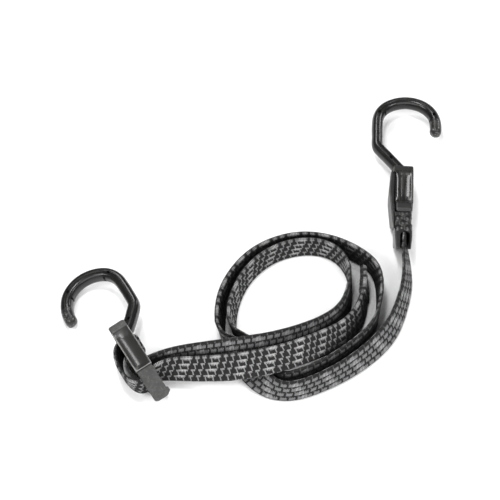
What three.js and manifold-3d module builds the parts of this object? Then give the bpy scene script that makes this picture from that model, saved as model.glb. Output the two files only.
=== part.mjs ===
// Adjustable flat bungee strap with a moulded hook at each end.
// Millimetres, +Z up. The strap lies on the floor (z = 0) as a loose double
// coil: the fixed end (sewn) is at the back right, the adjuster at the front left.
import * as THREE from 'three';
import { mergeVertices } from 'three/addons/utils/BufferGeometryUtils.js';
import Module from 'manifold-3d';

const wasm = await Module();
wasm.setup();

// ---------------------------------------------------------------- dimensions
const ORIGIN = [4.803, -5.839, 0];         // shift that puts the rigid pieces' footprint centre at the origin
const STRAP_WIDTH = 20, STRAP_THICK = 2.8;      // woven elastic webbing
const HEM_THICK = 5.4;                          // folded and sewn tail end
const GAP = 0.3;                                // clearance between touching pieces

const BODY_DEPTH = 25.5;                        // end bodies, measured across the strap's width
const HALF_DEPTH = BODY_DEPTH / 2;
const CHEEK = 2.35;                             // side wall thickness of the end bodies
const INNER_HALF = HALF_DEPTH - CHEEK;

const HOOK_RADIAL = 8.8, HOOK_DEPTH = 11.5;     // hook section: in the hook's plane, across it
const CORE_R = 1.7, CORE_HOLE_R = 2.2;          // steel core and its channel
const PIN_MARK = 2.0;                           // square openings left by the moulding pins
const FIXED_CROOK = [-0.7, 28.4], ADJUSTER_CROOK = [0, 14.2];     // where the hooks' crook starts

const HOUSING_LEN = 41, THROAT_END = 76.5;      // fixed end, measured down from its cap
const ANCHOR_PIN_U = -31, ANCHOR_PIN_R = 2.0;
const SEWN_END_U = -56;                         // the doubled, sewn stretch of strap ends here

const FRAME_LEN = 73.7, FRAME_HALF_W = 6.4, LOWER_CHEEK = 58.6;     // adjuster frame
const BAR_R = 2.2, BAR_A = [0.5, -18], BAR_B = [-0.5, -30];

// Poses of the two ends: cap centre, then the axes across the body, towards the hook, and across the strap.
const FIXED_POSE = { at: [119.9, 61.16, 12.75], w: [0.99828, -0.0586, 0], u: [0.0586, 0.99828, 0], v: [0, 0, 1] };
const ADJUSTER_POSE = { at: [-96.372, -81.466, 13.979], w: [0.84269, 0.49685, 0.20741], u: [-0.49386, 0.86674, -0.06976], v: [-0.21442, -0.04365, 0.97576] };

// Strap centreline from the sewn block to the tail end: position, then the unit vector across its width.
const ROUTE = [
  [118.47, 4.65, 12.75, -0.059, -0.002, 0.998],
  [118.47, -2.88, 12.69, -0.168, -0.018, 0.986],
  [118.59, -10.4, 12.45, -0.263, -0.053, 0.963],
  [118.81, -17.91, 11.95, -0.314, -0.087, 0.946],
  [119.01, -25.4, 11.29, -0.339, -0.087, 0.937],
  [118.78, -32.9, 10.69, -0.358, -0.034, 0.933],
  [117.77, -40.34, 10.3, -0.368, 0.034, 0.929],
  [116.12, -47.68, 10.12, -0.371, 0.081, 0.925],
  [114.08, -54.92, 10.03, -0.38, 0.105, 0.919],
  [111.72, -62.07, 9.94, -0.392, 0.129, 0.911],
  [108.93, -69.06, 9.84, -0.404, 0.166, 0.9],
  [105.54, -75.78, 9.73, -0.404, 0.218, 0.888],
  [101.47, -82.1, 9.67, -0.387, 0.274, 0.88],
  [96.79, -88, 9.67, -0.355, 0.314, 0.88],
  [91.66, -93.5, 9.74, -0.318, 0.332, 0.888],
  [86.21, -98.69, 9.83, -0.284, 0.333, 0.899],
  [80.48, -103.57, 9.92, -0.252, 0.329, 0.91],
  [74.5, -108.14, 10, -0.22, 0.321, 0.921],
  [68.29, -112.38, 10.08, -0.189, 0.308, 0.933],
  [61.88, -116.33, 10.15, -0.161, 0.29, 0.943],
  [55.3, -119.98, 10.19, -0.137, 0.273, 0.952],
  [48.54, -123.3, 10.22, -0.116, 0.259, 0.959],
  [41.6, -126.21, 10.26, -0.086, 0.252, 0.964],
  [34.41, -128.41, 10.31, -0.051, 0.244, 0.968],
  [26.95, -129.25, 10.3, -0.008, 0.249, 0.969],
  [19.58, -127.9, 10.08, 0.074, 0.322, 0.944],
  [13.11, -124.16, 9.57, 0.268, 0.466, 0.843],
  [7.78, -118.93, 8.65, 0.494, 0.558, 0.667],
  [3.19, -113.08, 7.49, 0.648, 0.565, 0.51],
  [-1.07, -106.93, 6.72, 0.742, 0.521, 0.423],
  [-5.4, -100.78, 6.97, 0.745, 0.507, 0.433],
  [-10.24, -95.12, 8.22, 0.656, 0.455, 0.602],
  [-15.53, -89.94, 9.73, 0.413, 0.193, 0.89],
  [-20.06, -84.04, 10.57, -0.021, -0.051, 0.999],
  [-22.21, -76.87, 10.5, -0.251, -0.001, 0.968],
  [-22.56, -69.35, 10.26, -0.297, 0.031, 0.955],
  [-22.2, -61.84, 10.15, -0.299, 0.025, 0.954],
  [-21.27, -54.37, 10.17, -0.283, 0.044, 0.958],
  [-19.53, -47.05, 10.22, -0.258, 0.072, 0.964],
  [-16.94, -39.99, 10.25, -0.23, 0.096, 0.969],
  [-13.6, -33.25, 10.26, -0.205, 0.113, 0.972],
  [-9.65, -26.84, 10.27, -0.183, 0.124, 0.975],
  [-5.12, -20.84, 10.27, -0.161, 0.134, 0.978],
  [0.05, -15.37, 10.28, -0.135, 0.143, 0.981],
  [5.85, -10.57, 10.28, -0.108, 0.148, 0.983],
  [12.18, -6.52, 10.29, -0.084, 0.151, 0.985],
  [18.94, -3.2, 10.29, -0.064, 0.15, 0.987],
  [26, -0.61, 10.28, -0.045, 0.148, 0.988],
  [33.31, 1.15, 10.28, -0.025, 0.144, 0.989],
  [40.79, 1.95, 10.28, -0.005, 0.138, 0.99],
  [48.31, 1.71, 10.28, 0.013, 0.13, 0.992],
  [55.74, 0.53, 10.28, 0.026, 0.119, 0.993],
  [62.99, -1.47, 10.28, 0.036, 0.108, 0.994],
  [69.99, -4.22, 10.27, 0.044, 0.096, 0.994],
  [76.67, -7.7, 10.27, 0.048, 0.082, 0.996],
  [82.97, -11.81, 10.27, 0.05, 0.07, 0.996],
  [88.78, -16.59, 10.28, 0.06, 0.064, 0.996],
  [93.55, -22.39, 10.29, 0.088, 0.056, 0.995],
  [96.51, -29.28, 10.3, 0.123, 0.034, 0.992],
  [97.75, -36.69, 10.3, 0.137, 0.011, 0.991],
  [97.91, -44.21, 10.3, 0.128, -0.004, 0.992],
  [97.4, -51.72, 10.3, 0.101, -0.011, 0.995],
  [96.34, -59.17, 10.3, 0.06, -0.009, 0.998],
  [94.68, -66.51, 10.33, 0.011, 0.001, 1],
  [92.14, -73.59, 10.35, -0.045, 0.024, 0.999],
  [88.5, -80.17, 10.36, -0.099, 0.063, 0.993],
  [83.89, -86.11, 10.32, -0.137, 0.113, 0.984],
  [78.64, -91.5, 10.27, -0.156, 0.157, 0.975],
  [73.01, -96.5, 10.24, -0.16, 0.187, 0.969],
  [67.12, -101.18, 10.23, -0.156, 0.206, 0.966],
  [61.02, -105.59, 10.23, -0.15, 0.22, 0.964],
  [54.72, -109.7, 10.24, -0.146, 0.237, 0.961],
  [48.22, -113.5, 10.26, -0.139, 0.262, 0.955],
  [41.51, -116.92, 10.33, -0.125, 0.296, 0.947],
  [34.57, -119.82, 10.41, -0.115, 0.328, 0.938],
  [27.3, -121.68, 10.28, -0.089, 0.366, 0.926],
  [20.03, -120.6, 9.44, 0.095, 0.51, 0.855],
  [14.69, -115.6, 7.95, 0.509, 0.549, 0.663],
  [10.6, -109.44, 6.57, 0.684, 0.523, 0.509],
  [6.6, -103.11, 5.85, 0.753, 0.501, 0.427],
  [2.34, -96.93, 6.27, 0.747, 0.482, 0.458],
  [-2.47, -91.38, 7.94, 0.653, 0.378, 0.656],
  [-7.55, -86.2, 9.92, 0.378, 0.051, 0.924],
  [-11.67, -80.04, 10.92, -0.075, -0.072, 0.995],
  [-13.67, -72.82, 10.79, -0.258, 0.013, 0.966],
  [-13.93, -65.31, 10.39, -0.292, 0.06, 0.954],
  [-13.03, -57.84, 10.22, -0.283, 0.058, 0.957],
  [-11.31, -50.51, 10.22, -0.258, 0.069, 0.964],
  [-8.91, -43.38, 10.26, -0.232, 0.086, 0.969],
  [-5.87, -36.5, 10.27, -0.207, 0.103, 0.973],
  [-2.13, -29.97, 10.28, -0.181, 0.116, 0.977],
  [2.34, -23.92, 10.3, -0.155, 0.126, 0.98],
  [7.52, -18.46, 10.32, -0.129, 0.133, 0.983],
  [13.35, -13.71, 10.35, -0.101, 0.137, 0.986],
  [19.75, -9.76, 10.37, -0.076, 0.139, 0.987],
  [26.62, -6.7, 10.38, -0.053, 0.142, 0.988],
  [33.85, -4.62, 10.39, -0.032, 0.141, 0.99],
  [41.3, -3.57, 10.41, -0.011, 0.133, 0.991],
  [48.81, -3.68, 10.42, 0.011, 0.121, 0.993],
  [56.16, -5.26, 10.44, 0.033, 0.103, 0.994],
  [62.89, -8.57, 10.45, 0.052, 0.08, 0.995],
  [68.46, -13.6, 10.46, 0.059, 0.052, 0.997],
  [72.46, -19.95, 10.47, 0.046, 0.022, 0.999],
  [74.77, -27.09, 10.49, 0.009, 0.005, 1],
  [75.49, -34.57, 10.51, -0.049, 0.001, 0.999],
  [75, -42.08, 10.48, -0.12, 0.006, 0.993],
  [73.74, -49.5, 10.36, -0.198, 0.022, 0.98],
  [71.5, -56.67, 10.19, -0.258, 0.09, 0.962],
  [67.68, -63.13, 10.11, -0.261, 0.203, 0.944],
  [62.53, -68.6, 10.25, -0.224, 0.3, 0.927],
  [56.7, -73.31, 10.78, -0.163, 0.386, 0.908],
  [50.62, -77.58, 11.89, -0.102, 0.456, 0.884],
  [44.47, -81.56, 13.55, -0.056, 0.507, 0.86],
  [38.26, -85.33, 15.53, -0.035, 0.532, 0.846],
  [31.92, -88.85, 17.55, -0.026, 0.539, 0.842],
  [25.34, -92.01, 19.36, -0.03, 0.531, 0.847],
  [18.43, -94.69, 20.7, -0.05, 0.518, 0.854],
  [11.24, -96.79, 21.42, -0.077, 0.512, 0.856],
  [3.88, -98.34, 21.59, -0.099, 0.514, 0.852],
  [-3.55, -99.5, 21.36, -0.112, 0.515, 0.85],
  [-11.01, -100.4, 20.88, -0.12, 0.508, 0.853],
  [-18.47, -101.15, 20.27, -0.119, 0.491, 0.863],
  [-25.95, -101.79, 19.63, -0.112, 0.464, 0.879],
  [-33.42, -102.4, 19.03, -0.104, 0.429, 0.897],
  [-40.9, -103.09, 18.51, -0.099, 0.39, 0.915],
  [-48.36, -103.97, 18.1, -0.089, 0.345, 0.935],
  [-55.8, -105.15, 17.88, -0.061, 0.281, 0.958],
  [-63.15, -106.74, 17.9, -0.032, 0.176, 0.984],
  [-70.36, -108.89, 17.88, -0.072, 0.058, 0.996],
  [-72.76, -109.83, 17.67, -0.13, 0.016, 0.991],
  [-75.12, -110.84, 17.29, -0.185, -0.023, 0.983],
  [-77.46, -111.82, 16.77, -0.211, -0.04, 0.977],
  [-79.85, -112.64, 16.21, -0.214, -0.043, 0.976],
  [-82.33, -113.12, 15.65, -0.214, -0.043, 0.976],
  [-84.84, -112.95, 15.1, -0.214, -0.044, 0.976],
  [-87.04, -111.71, 14.68, -0.214, -0.044, 0.976],
  [-88.27, -109.5, 14.51, -0.214, -0.044, 0.976],
  [-88.12, -106.95, 14.65, -0.214, -0.044, 0.976],
  [-86.87, -104.74, 15.03, -0.214, -0.044, 0.976],
  [-85.11, -102.9, 15.5, -0.214, -0.044, 0.976],
  [-83.25, -101.16, 15.98, -0.214, -0.044, 0.976],
  [-81.61, -99.22, 16.43, -0.214, -0.044, 0.976],
  [-80.55, -96.89, 16.77, -0.214, -0.044, 0.976],
  [-80.51, -94.33, 16.89, -0.214, -0.044, 0.976],
  [-81.71, -92.09, 16.72, -0.214, -0.044, 0.976],
  [-83.86, -90.77, 16.31, -0.214, -0.044, 0.976],
  [-86.37, -90.63, 15.77, -0.214, -0.044, 0.976],
  [-88.8, -91.3, 15.2, -0.214, -0.044, 0.976],
  [-91.06, -92.43, 14.66, -0.214, -0.044, 0.976],
  [-93.12, -93.92, 14.14, -0.214, -0.044, 0.976],
  [-94.82, -95.8, 13.68, -0.214, -0.044, 0.976],
  [-96.04, -98.05, 13.31, -0.214, -0.044, 0.976],
  [-96.71, -100.53, 13.05, -0.214, -0.044, 0.976],
  [-96.92, -103.11, 12.89, -0.214, -0.044, 0.976],
  [-96.76, -105.69, 12.81, -0.214, -0.044, 0.976],
  [-96.32, -108.24, 12.79, -0.214, -0.044, 0.976],
  [-95.65, -110.74, 12.83, -0.214, -0.044, 0.976],
  [-94.79, -113.18, 12.91, -0.214, -0.044, 0.976],
  [-93.74, -115.55, 13.03, -0.214, -0.044, 0.976],
  [-92.53, -117.83, 13.2, -0.214, -0.044, 0.976],
  [-91.15, -120.02, 13.4, -0.214, -0.044, 0.976],
  [-89.63, -122.1, 13.64, -0.214, -0.044, 0.976],
  [-87.94, -124.05, 13.93, -0.214, -0.044, 0.976],
  [-86.08, -125.81, 14.26, -0.214, -0.044, 0.976],
  [-83.99, -127.29, 14.65, -0.214, -0.044, 0.976],
  [-81.66, -128.29, 15.12, -0.214, -0.044, 0.976],
  [-79.15, -128.42, 15.66, -0.214, -0.044, 0.976],
  [-76.84, -127.45, 16.21, -0.215, -0.043, 0.976],
  [-74.95, -125.77, 16.71, -0.215, -0.043, 0.976],
  [-73.39, -123.74, 17.13, -0.211, -0.034, 0.977],
  [-71.94, -121.62, 17.46, -0.185, 0.014, 0.983],
  [-70.33, -119.6, 17.6, -0.12, 0.104, 0.987],
  [-68.38, -117.9, 17.5, -0.037, 0.188, 0.982],
  [-61.44, -115.2, 16.76, -0.015, 0.378, 0.925],
  [-53.98, -114.26, 16.41, -0.017, 0.514, 0.858],
  [-46.45, -114.23, 16.59, -0.026, 0.577, 0.817],
  [-38.93, -114.45, 17.04, -0.035, 0.623, 0.781],
  [-31.42, -114.65, 17.64, -0.052, 0.67, 0.741],
  [-23.93, -114.78, 18.42, -0.075, 0.722, 0.687],
  [-16.48, -114.9, 19.58, -0.105, 0.775, 0.624],
  [-9.11, -114.95, 21.14, -0.137, 0.811, 0.569],
  [-1.77, -114.7, 22.81, -0.169, 0.826, 0.537],
  [5.58, -114.05, 24.32, -0.196, 0.828, 0.525],
  [12.93, -113.02, 25.62, -0.22, 0.817, 0.532],
  [20.26, -111.54, 26.56, -0.245, 0.79, 0.561],
  [27.47, -109.38, 26.85, -0.258, 0.75, 0.609],
  [34.37, -106.44, 26.22, -0.242, 0.714, 0.657],
  [40.81, -102.88, 24.66, -0.209, 0.699, 0.683],
  [46.81, -98.95, 22.37, -0.186, 0.703, 0.687],
  [52.48, -94.82, 19.62, -0.181, 0.707, 0.684],
  [57.99, -90.56, 16.74, -0.193, 0.697, 0.691],
  [63.46, -86.11, 14.06, -0.228, 0.656, 0.719],
  [68.85, -81.3, 11.95, -0.291, 0.564, 0.772],
  [73.93, -75.89, 10.67, -0.354, 0.421, 0.835],
  [78.37, -69.84, 10.16, -0.37, 0.265, 0.89],
  [81.89, -63.18, 10.12, -0.339, 0.134, 0.931],
  [84.32, -56.06, 10.29, -0.279, 0.043, 0.959],
  [85.68, -48.66, 10.52, -0.21, -0.003, 0.978],
  [86.22, -41.15, 10.71, -0.146, -0.016, 0.989],
  [86.21, -33.61, 10.83, -0.093, -0.015, 0.996],
  [85.91, -26.08, 10.9, -0.05, -0.01, 0.999],
];
// Rows where one strap piece ends and the next begins.
const CUT = { upper: 0, run: 6, outer: 26, inner: 75, lead: 102, leadAdj: 119, wrap: 128, tailAdj: 172, tail: 181, hem: 197 };

// Hook centreline from the knee to the tip, in the hook's plane, the knee's height taken as zero.
const CROOK = [[-20.6, 8], [-20.8, 18], [-20.3, 26], [-18.2, 31.8], [-14.3, 36.6], [-8.6, 40.2], [-1, 42.4], [6.5, 42.3], [13.6, 40], [19.4, 35.8], [23.4, 30]];
const FIXED_SHANK = [[0.5, -5], [-0.5, 1.2], [-5.7, 8], [-12.7, 16.4], [-18.2, 22.7], [-20.8, 26.6]], FIXED_TIP = [[25.3, 23], [25.5, 16.4], [24.9, 11.6]];
const ADJUSTER_SHANK = [[0, -6.5], [-4.5, -2.8], [-10.6, 2.9], [-15.4, 8], [-18.6, 11.6], [-20, 14.2]], ADJUSTER_TIP = [[25.6, 23.5], [26.3, 17.5], [26.1, 13.5]];

// ------------------------------------------------------------------- helpers
const V = (x, y, z) => new THREE.Vector3(x, y, z);

function solid(geometry) {
  let g = geometry.clone();
  for (const name of ['normal', 'uv']) if (g.getAttribute(name)) g.deleteAttribute(name);
  g = mergeVertices(g, 1e-4);
  return new wasm.Manifold(new wasm.Mesh({
    numProp: 3,
    vertProperties: new Float32Array(g.getAttribute('position').array),
    triVerts: new Uint32Array(g.getIndex().array),
  }));
}

function geometryOf(body) {
  const m = body.getMesh();
  const g = new THREE.BufferGeometry();
  const n = m.vertProperties.length / m.numProp, p = new Float32Array(n * 3);
  for (let i = 0; i < n; i++) for (let k = 0; k < 3; k++) p[i * 3 + k] = m.vertProperties[i * m.numProp + k];
  g.setAttribute('position', new THREE.BufferAttribute(p, 3));
  g.setIndex(Array.from(m.triVerts));
  return g;
}

// Closed loft: rings of equal point count, flat caps on the first and last ring.
function loft(rings) {
  const n = rings[0].length, pos = [], idx = [];
  for (const ring of rings) for (const p of ring) pos.push(p.x, p.y, p.z);
  for (let i = 0; i + 1 < rings.length; i++) {
    for (let j = 0; j < n; j++) {
      const a = i * n + j, b = i * n + (j + 1) % n, c = a + n, d = b + n;
      idx.push(a, b, d, a, d, c);
    }
  }
  const last = (rings.length - 1) * n;
  for (let j = 1; j + 1 < n; j++) idx.push(0, j + 1, j, last, last + j, last + j + 1);
  const g = new THREE.BufferGeometry();
  g.setAttribute('position', new THREE.Float32BufferAttribute(pos, 3));
  g.setIndex(idx);
  return g;
}

// Outline in the (w, u) plane, extruded across the strap's width.
function plate(outline, v0, v1) {
  const shape = new THREE.Shape(outline.map(([x, y]) => new THREE.Vector2(x, y)));
  const g = new THREE.ExtrudeGeometry(shape, { depth: v1 - v0, bevelEnabled: false, curveSegments: 8 });
  return g.translate(0, 0, v0);
}
function block(x0, x1, y0, y1, z0, z1) {
  return new THREE.BoxGeometry(x1 - x0, y1 - y0, z1 - z0).translate((x0 + x1) / 2, (y0 + y1) / 2, (z0 + z1) / 2);
}
function rod(x, y, r, z0, z1, sides = 16) {
  return new THREE.CylinderGeometry(r, r, z1 - z0, sides).rotateX(Math.PI / 2).translate(x, y, (z0 + z1) / 2);
}

// Sweep of a section along a planar path in (w, u); section points are (across the path in the plane, across the plane).
function planarSweep(points, section, steps, scaleAt = () => 1, t0 = 0, t1 = 1) {
  const curve = new THREE.CatmullRomCurve3(points.map(([x, y]) => V(x, y, 0)), false, 'centripetal');
  const rings = [];
  for (let i = 0; i <= steps; i++) {
    const t = t0 + (t1 - t0) * i / steps;
    const p = curve.getPointAt(t), d = curve.getTangentAt(t), nx = V(d.y, -d.x, 0), k = scaleAt(t);
    rings.push(section.map(([a, b]) => V(p.x + nx.x * a * k, p.y + nx.y * a * k, b * k)));
  }
  return loft(rings);
}
function circle(r, n) {
  return Array.from({ length: n }, (_, i) => [r * Math.cos(2 * Math.PI * i / n), r * Math.sin(2 * Math.PI * i / n)]);
}
function orient(g) {                              // outward faces
  const m = solid(g);
  return m.volume() < 0 ? solid(flip(g)) : m;
}
function flip(g) {
  const q = g.clone(), ix = Array.from(q.getIndex().array);
  for (let i = 0; i < ix.length; i += 3) [ix[i + 1], ix[i + 2]] = [ix[i + 2], ix[i + 1]];
  q.setIndex(ix);
  return q;
}

const nylon = new THREE.MeshStandardMaterial({ color: 0x1b1b1c, roughness: 0.35, metalness: 0 });
const nylonBoot = new THREE.MeshStandardMaterial({ color: 0x171718, roughness: 0.5, metalness: 0 });
const steel = new THREE.MeshStandardMaterial({ color: 0x9a9a9a, roughness: 0.3, metalness: 1 });
const webbing = new THREE.MeshStandardMaterial({ color: 0x55565a, roughness: 0.9, metalness: 0 });
const thread = new THREE.MeshStandardMaterial({ color: 0x26262a, roughness: 0.85, metalness: 0 });

const root = new THREE.Group();
root.position.set(-ORIGIN[0], -ORIGIN[1], -ORIGIN[2]);

function poseGroup({ at, w, u, v }) {
  const g = new THREE.Group();
  g.matrixAutoUpdate = false;
  g.matrix.makeBasis(V(...w), V(...u), V(...v)).setPosition(...at);
  root.add(g);
  return g;
}
function add(group, name, geometry, material) {
  const mesh = new THREE.Mesh(geometry, material);
  mesh.name = name;
  group.add(mesh);
}

// ---------------------------------------------------------------------- hooks
// Lens section with a narrow ridge along each side.
const HR = HOOK_RADIAL / 2, HD = HOOK_DEPTH / 2;
const HOOK_SECTION = [
  [0.8, HD], [-0.8, HD], [-0.62 * HR, 0.83 * HD], [-0.93 * HR, 0.42 * HD], [-HR, 0], [-0.93 * HR, -0.42 * HD], [-0.62 * HR, -0.83 * HD],
  [-0.8, -HD], [0.8, -HD], [0.62 * HR, -0.83 * HD], [0.93 * HR, -0.42 * HD], [HR, 0], [0.93 * HR, 0.42 * HD], [0.62 * HR, 0.83 * HD],
];
const mirror = (pts, s) => pts.map(([x, y]) => [x * s, y]);

function hookPath(shank, tip, start, side) {
  return mirror([...shank, ...[...CROOK, ...tip].map(([x, y]) => [x + start[0], y + start[1]])], side);
}
// The tip swells slightly and rounds off.
const hookScale = (t) => (t > 0.985 ? 0.74 : t > 0.965 ? 0.95 : t > 0.9 ? 1.04 : 1);

function hookJacket(path, rootBody, channelFoot, marks) {
  let body = orient(planarSweep(path, HOOK_SECTION, 40, hookScale)).add(rootBody);
  const channel = [channelFoot, ...path];
  body = body.subtract(orient(planarSweep(channel, circle(CORE_HOLE_R, 8), 44, () => 1, 0, 0.95)));
  const curve = new THREE.CatmullRomCurve3(path.map(([x, y]) => V(x, y, 0)), false, 'centripetal');
  for (const t of marks) {
    const p = curve.getPointAt(t), d = curve.getTangentAt(t);
    const mark = new THREE.BoxGeometry(PIN_MARK, PIN_MARK, HOOK_DEPTH + 4).rotateZ(Math.atan2(d.y, d.x)).translate(p.x, p.y, 0);
    body = body.subtract(solid(mark));
  }
  return body;
}
function hookCore(path, channelFoot) {
  return orient(planarSweep([channelFoot, ...path], circle(CORE_R, 8), 44, () => 1, 0.012, 0.945));
}

// ------------------------------------------------------------------ fixed end
const fixed = poseGroup(FIXED_POSE);
{
  const path = hookPath(FIXED_SHANK, FIXED_TIP, FIXED_CROOK, 1);
  const rootBody = solid(block(-4.4, 5.0, -13, -2.9, -9.6, 9.6));
  const foot = [0.5, -14];
  add(fixed, 'fixed_hook', geometryOf(hookJacket(path, rootBody, foot, [0.155, 0.505, 0.88])), nylon);
  add(fixed, 'fixed_hook_core', geometryOf(hookCore(path, foot)), steel);

  // Housing: cap, scooped grip panel and collar in one moulding, open at its back and its foot.
  let housing = solid(plate([[-7.9, 0.6], [6.4, 0.6], [7, -0.2], [7.3, -6], [7.4, -33.5], [7.3, -38.5], [6.6, -HOUSING_LEN], [-6.6, -HOUSING_LEN], [-6.6, -6.2], [-8.4, -5], [-8.4, -0.2]], -HALF_DEPTH, HALF_DEPTH));
  housing = housing.subtract(solid(block(-5.0, 5.5, -HOUSING_LEN - 1, -2.4, -INNER_HALF, INNER_HALF)));
  housing = housing.subtract(solid(block(-12, -4.9, -HOUSING_LEN - 1, -5.4, -INNER_HALF, INNER_HALF)));
  housing = housing.subtract(orient(planarSweep(path.slice(0, 5), HOOK_SECTION.map(([a, b]) => [a * 1.09, b * 1.06]), 12)));
  for (const s of [1, -1]) {
    const z0 = s > 0 ? HALF_DEPTH - 0.8 : -HALF_DEPTH - 1, z1 = s > 0 ? HALF_DEPTH + 1 : -HALF_DEPTH + 0.8;
    housing = housing.subtract(solid(block(-5.4, 6.1, -32.6, -6.6, z0, z1)));
  }
  housing = housing.subtract(solid(rod(0, ANCHOR_PIN_U, ANCHOR_PIN_R + GAP, -HALF_DEPTH + 1.1, HALF_DEPTH - 1.1)));
  add(fixed, 'fixed_housing', geometryOf(housing), nylon);
  add(fixed, 'fixed_anchor_pin', rod(0, ANCHOR_PIN_U, ANCHOR_PIN_R, -HALF_DEPTH + 1.4, HALF_DEPTH - 1.4), steel);

  // The ends of the cover and the throat are undercut: shorter on the side that faces the floor.
  const tilt = Math.atan2(-16.5, -25.5);
  const underCut = (u0) => solid(new THREE.BoxGeometry(60, 60, 160).rotateX(tilt).translate(0, u0 + 30 * Math.cos(tilt), HALF_DEPTH + 30 * Math.sin(tilt)));

  // Bulged back cover that closes the housing once the strap and its pin are in.
  const cover = solid(plate([[-6.9, -6.6], [-8.7, -5.4], [-8.7, -3.6], [-9.9, -3.4], [-10.7, -8.6], [-11.2, -15.8], [-11.2, -22.5], [-10.6, -29.2], [-9.95, -35.8], [-9.25, -42.4], [-8.55, -48.9], [-7.8, -54.6], [-7.4, -58], [-6.9, -58]], -HALF_DEPTH + 1.2, HALF_DEPTH - 1.2));
  add(fixed, 'fixed_back_cover', geometryOf(cover.subtract(underCut(-58.4))), nylonBoot);

  // Ribbed throat with a split mouth.
  let throat = solid(plate([
    [-6.6, -HOUSING_LEN - GAP], [6.0, -HOUSING_LEN - GAP], [6.1, -43], [6.6, -44.6], [6.6, -47.2], [6.1, -48.6], [6.1, -51.6], [7.0, -53.4], [7.1, -62], [6.9, -68],
    [6.3, -73.5], [5.6, -THROAT_END], [-3.6, -THROAT_END], [-5.2, -THROAT_END + 0.9], [-5.6, -72], [-6.3, -63], [-6.6, -59]], -HALF_DEPTH + 0.7, HALF_DEPTH - 0.7));
  throat = throat.subtract(solid(block(-3.8, 4.8, -62, -HOUSING_LEN + 1, -INNER_HALF, INNER_HALF)));
  throat = throat.subtract(solid(block(-2.2, 5.3, -THROAT_END - 1, -61, -INNER_HALF, INNER_HALF)));
  for (const s of [1, -1]) {
    const z0 = s > 0 ? 8 : -HALF_DEPTH - 1, z1 = s > 0 ? HALF_DEPTH + 1 : -8;
    throat = throat.subtract(solid(block(-2.2, 5.3, -THROAT_END - 1, -61.5, z0, z1)));
  }
  add(fixed, 'fixed_throat', geometryOf(throat.subtract(underCut(-THROAT_END - 0.1))), nylonBoot);

  // Strap end: round the pin, doubled back and sewn.
  const eye = solid(rod(0, ANCHOR_PIN_U, ANCHOR_PIN_R + GAP + STRAP_THICK, -STRAP_WIDTH / 2, STRAP_WIDTH / 2, 20));
  const tongue = solid(block(-2.9, 2.9, SEWN_END_U, ANCHOR_PIN_U - 3.5, -STRAP_WIDTH / 2, STRAP_WIDTH / 2));
  const eyeHole = solid(rod(0, ANCHOR_PIN_U, ANCHOR_PIN_R + GAP, -STRAP_WIDTH, STRAP_WIDTH, 16));
  add(fixed, 'strap_anchor_loop', geometryOf(eye.add(tongue).subtract(eyeHole)), webbing);

  // Box stitch with a crossing diagonal, on the doubled strap's face.
  const st0 = 3.0, st1 = 3.5;
  let box = solid(block(st0, st1, -53.5, -41, -7.5, -6.9)).add(solid(block(st0, st1, -53.5, -41, 6.9, 7.5)))
    .add(solid(block(st0, st1, -53.5, -52.9, -7.5, 7.5))).add(solid(block(st0, st1, -41.6, -41, -7.5, 7.5)));
  const diag = new THREE.BoxGeometry(st1 - st0, 0.6, 18.6).rotateX(Math.atan2(11.9, 14.4)).translate((st0 + st1) / 2, -47.25, 0);
  const diag2 = new THREE.BoxGeometry(st1 - st0, 0.6, 18.6).rotateX(-Math.atan2(11.9, 14.4)).translate((st0 + st1) / 2, -47.25, 0);
  add(fixed, 'anchor_stitching', geometryOf(box.add(solid(diag)).add(solid(diag2))), thread);
}

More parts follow.
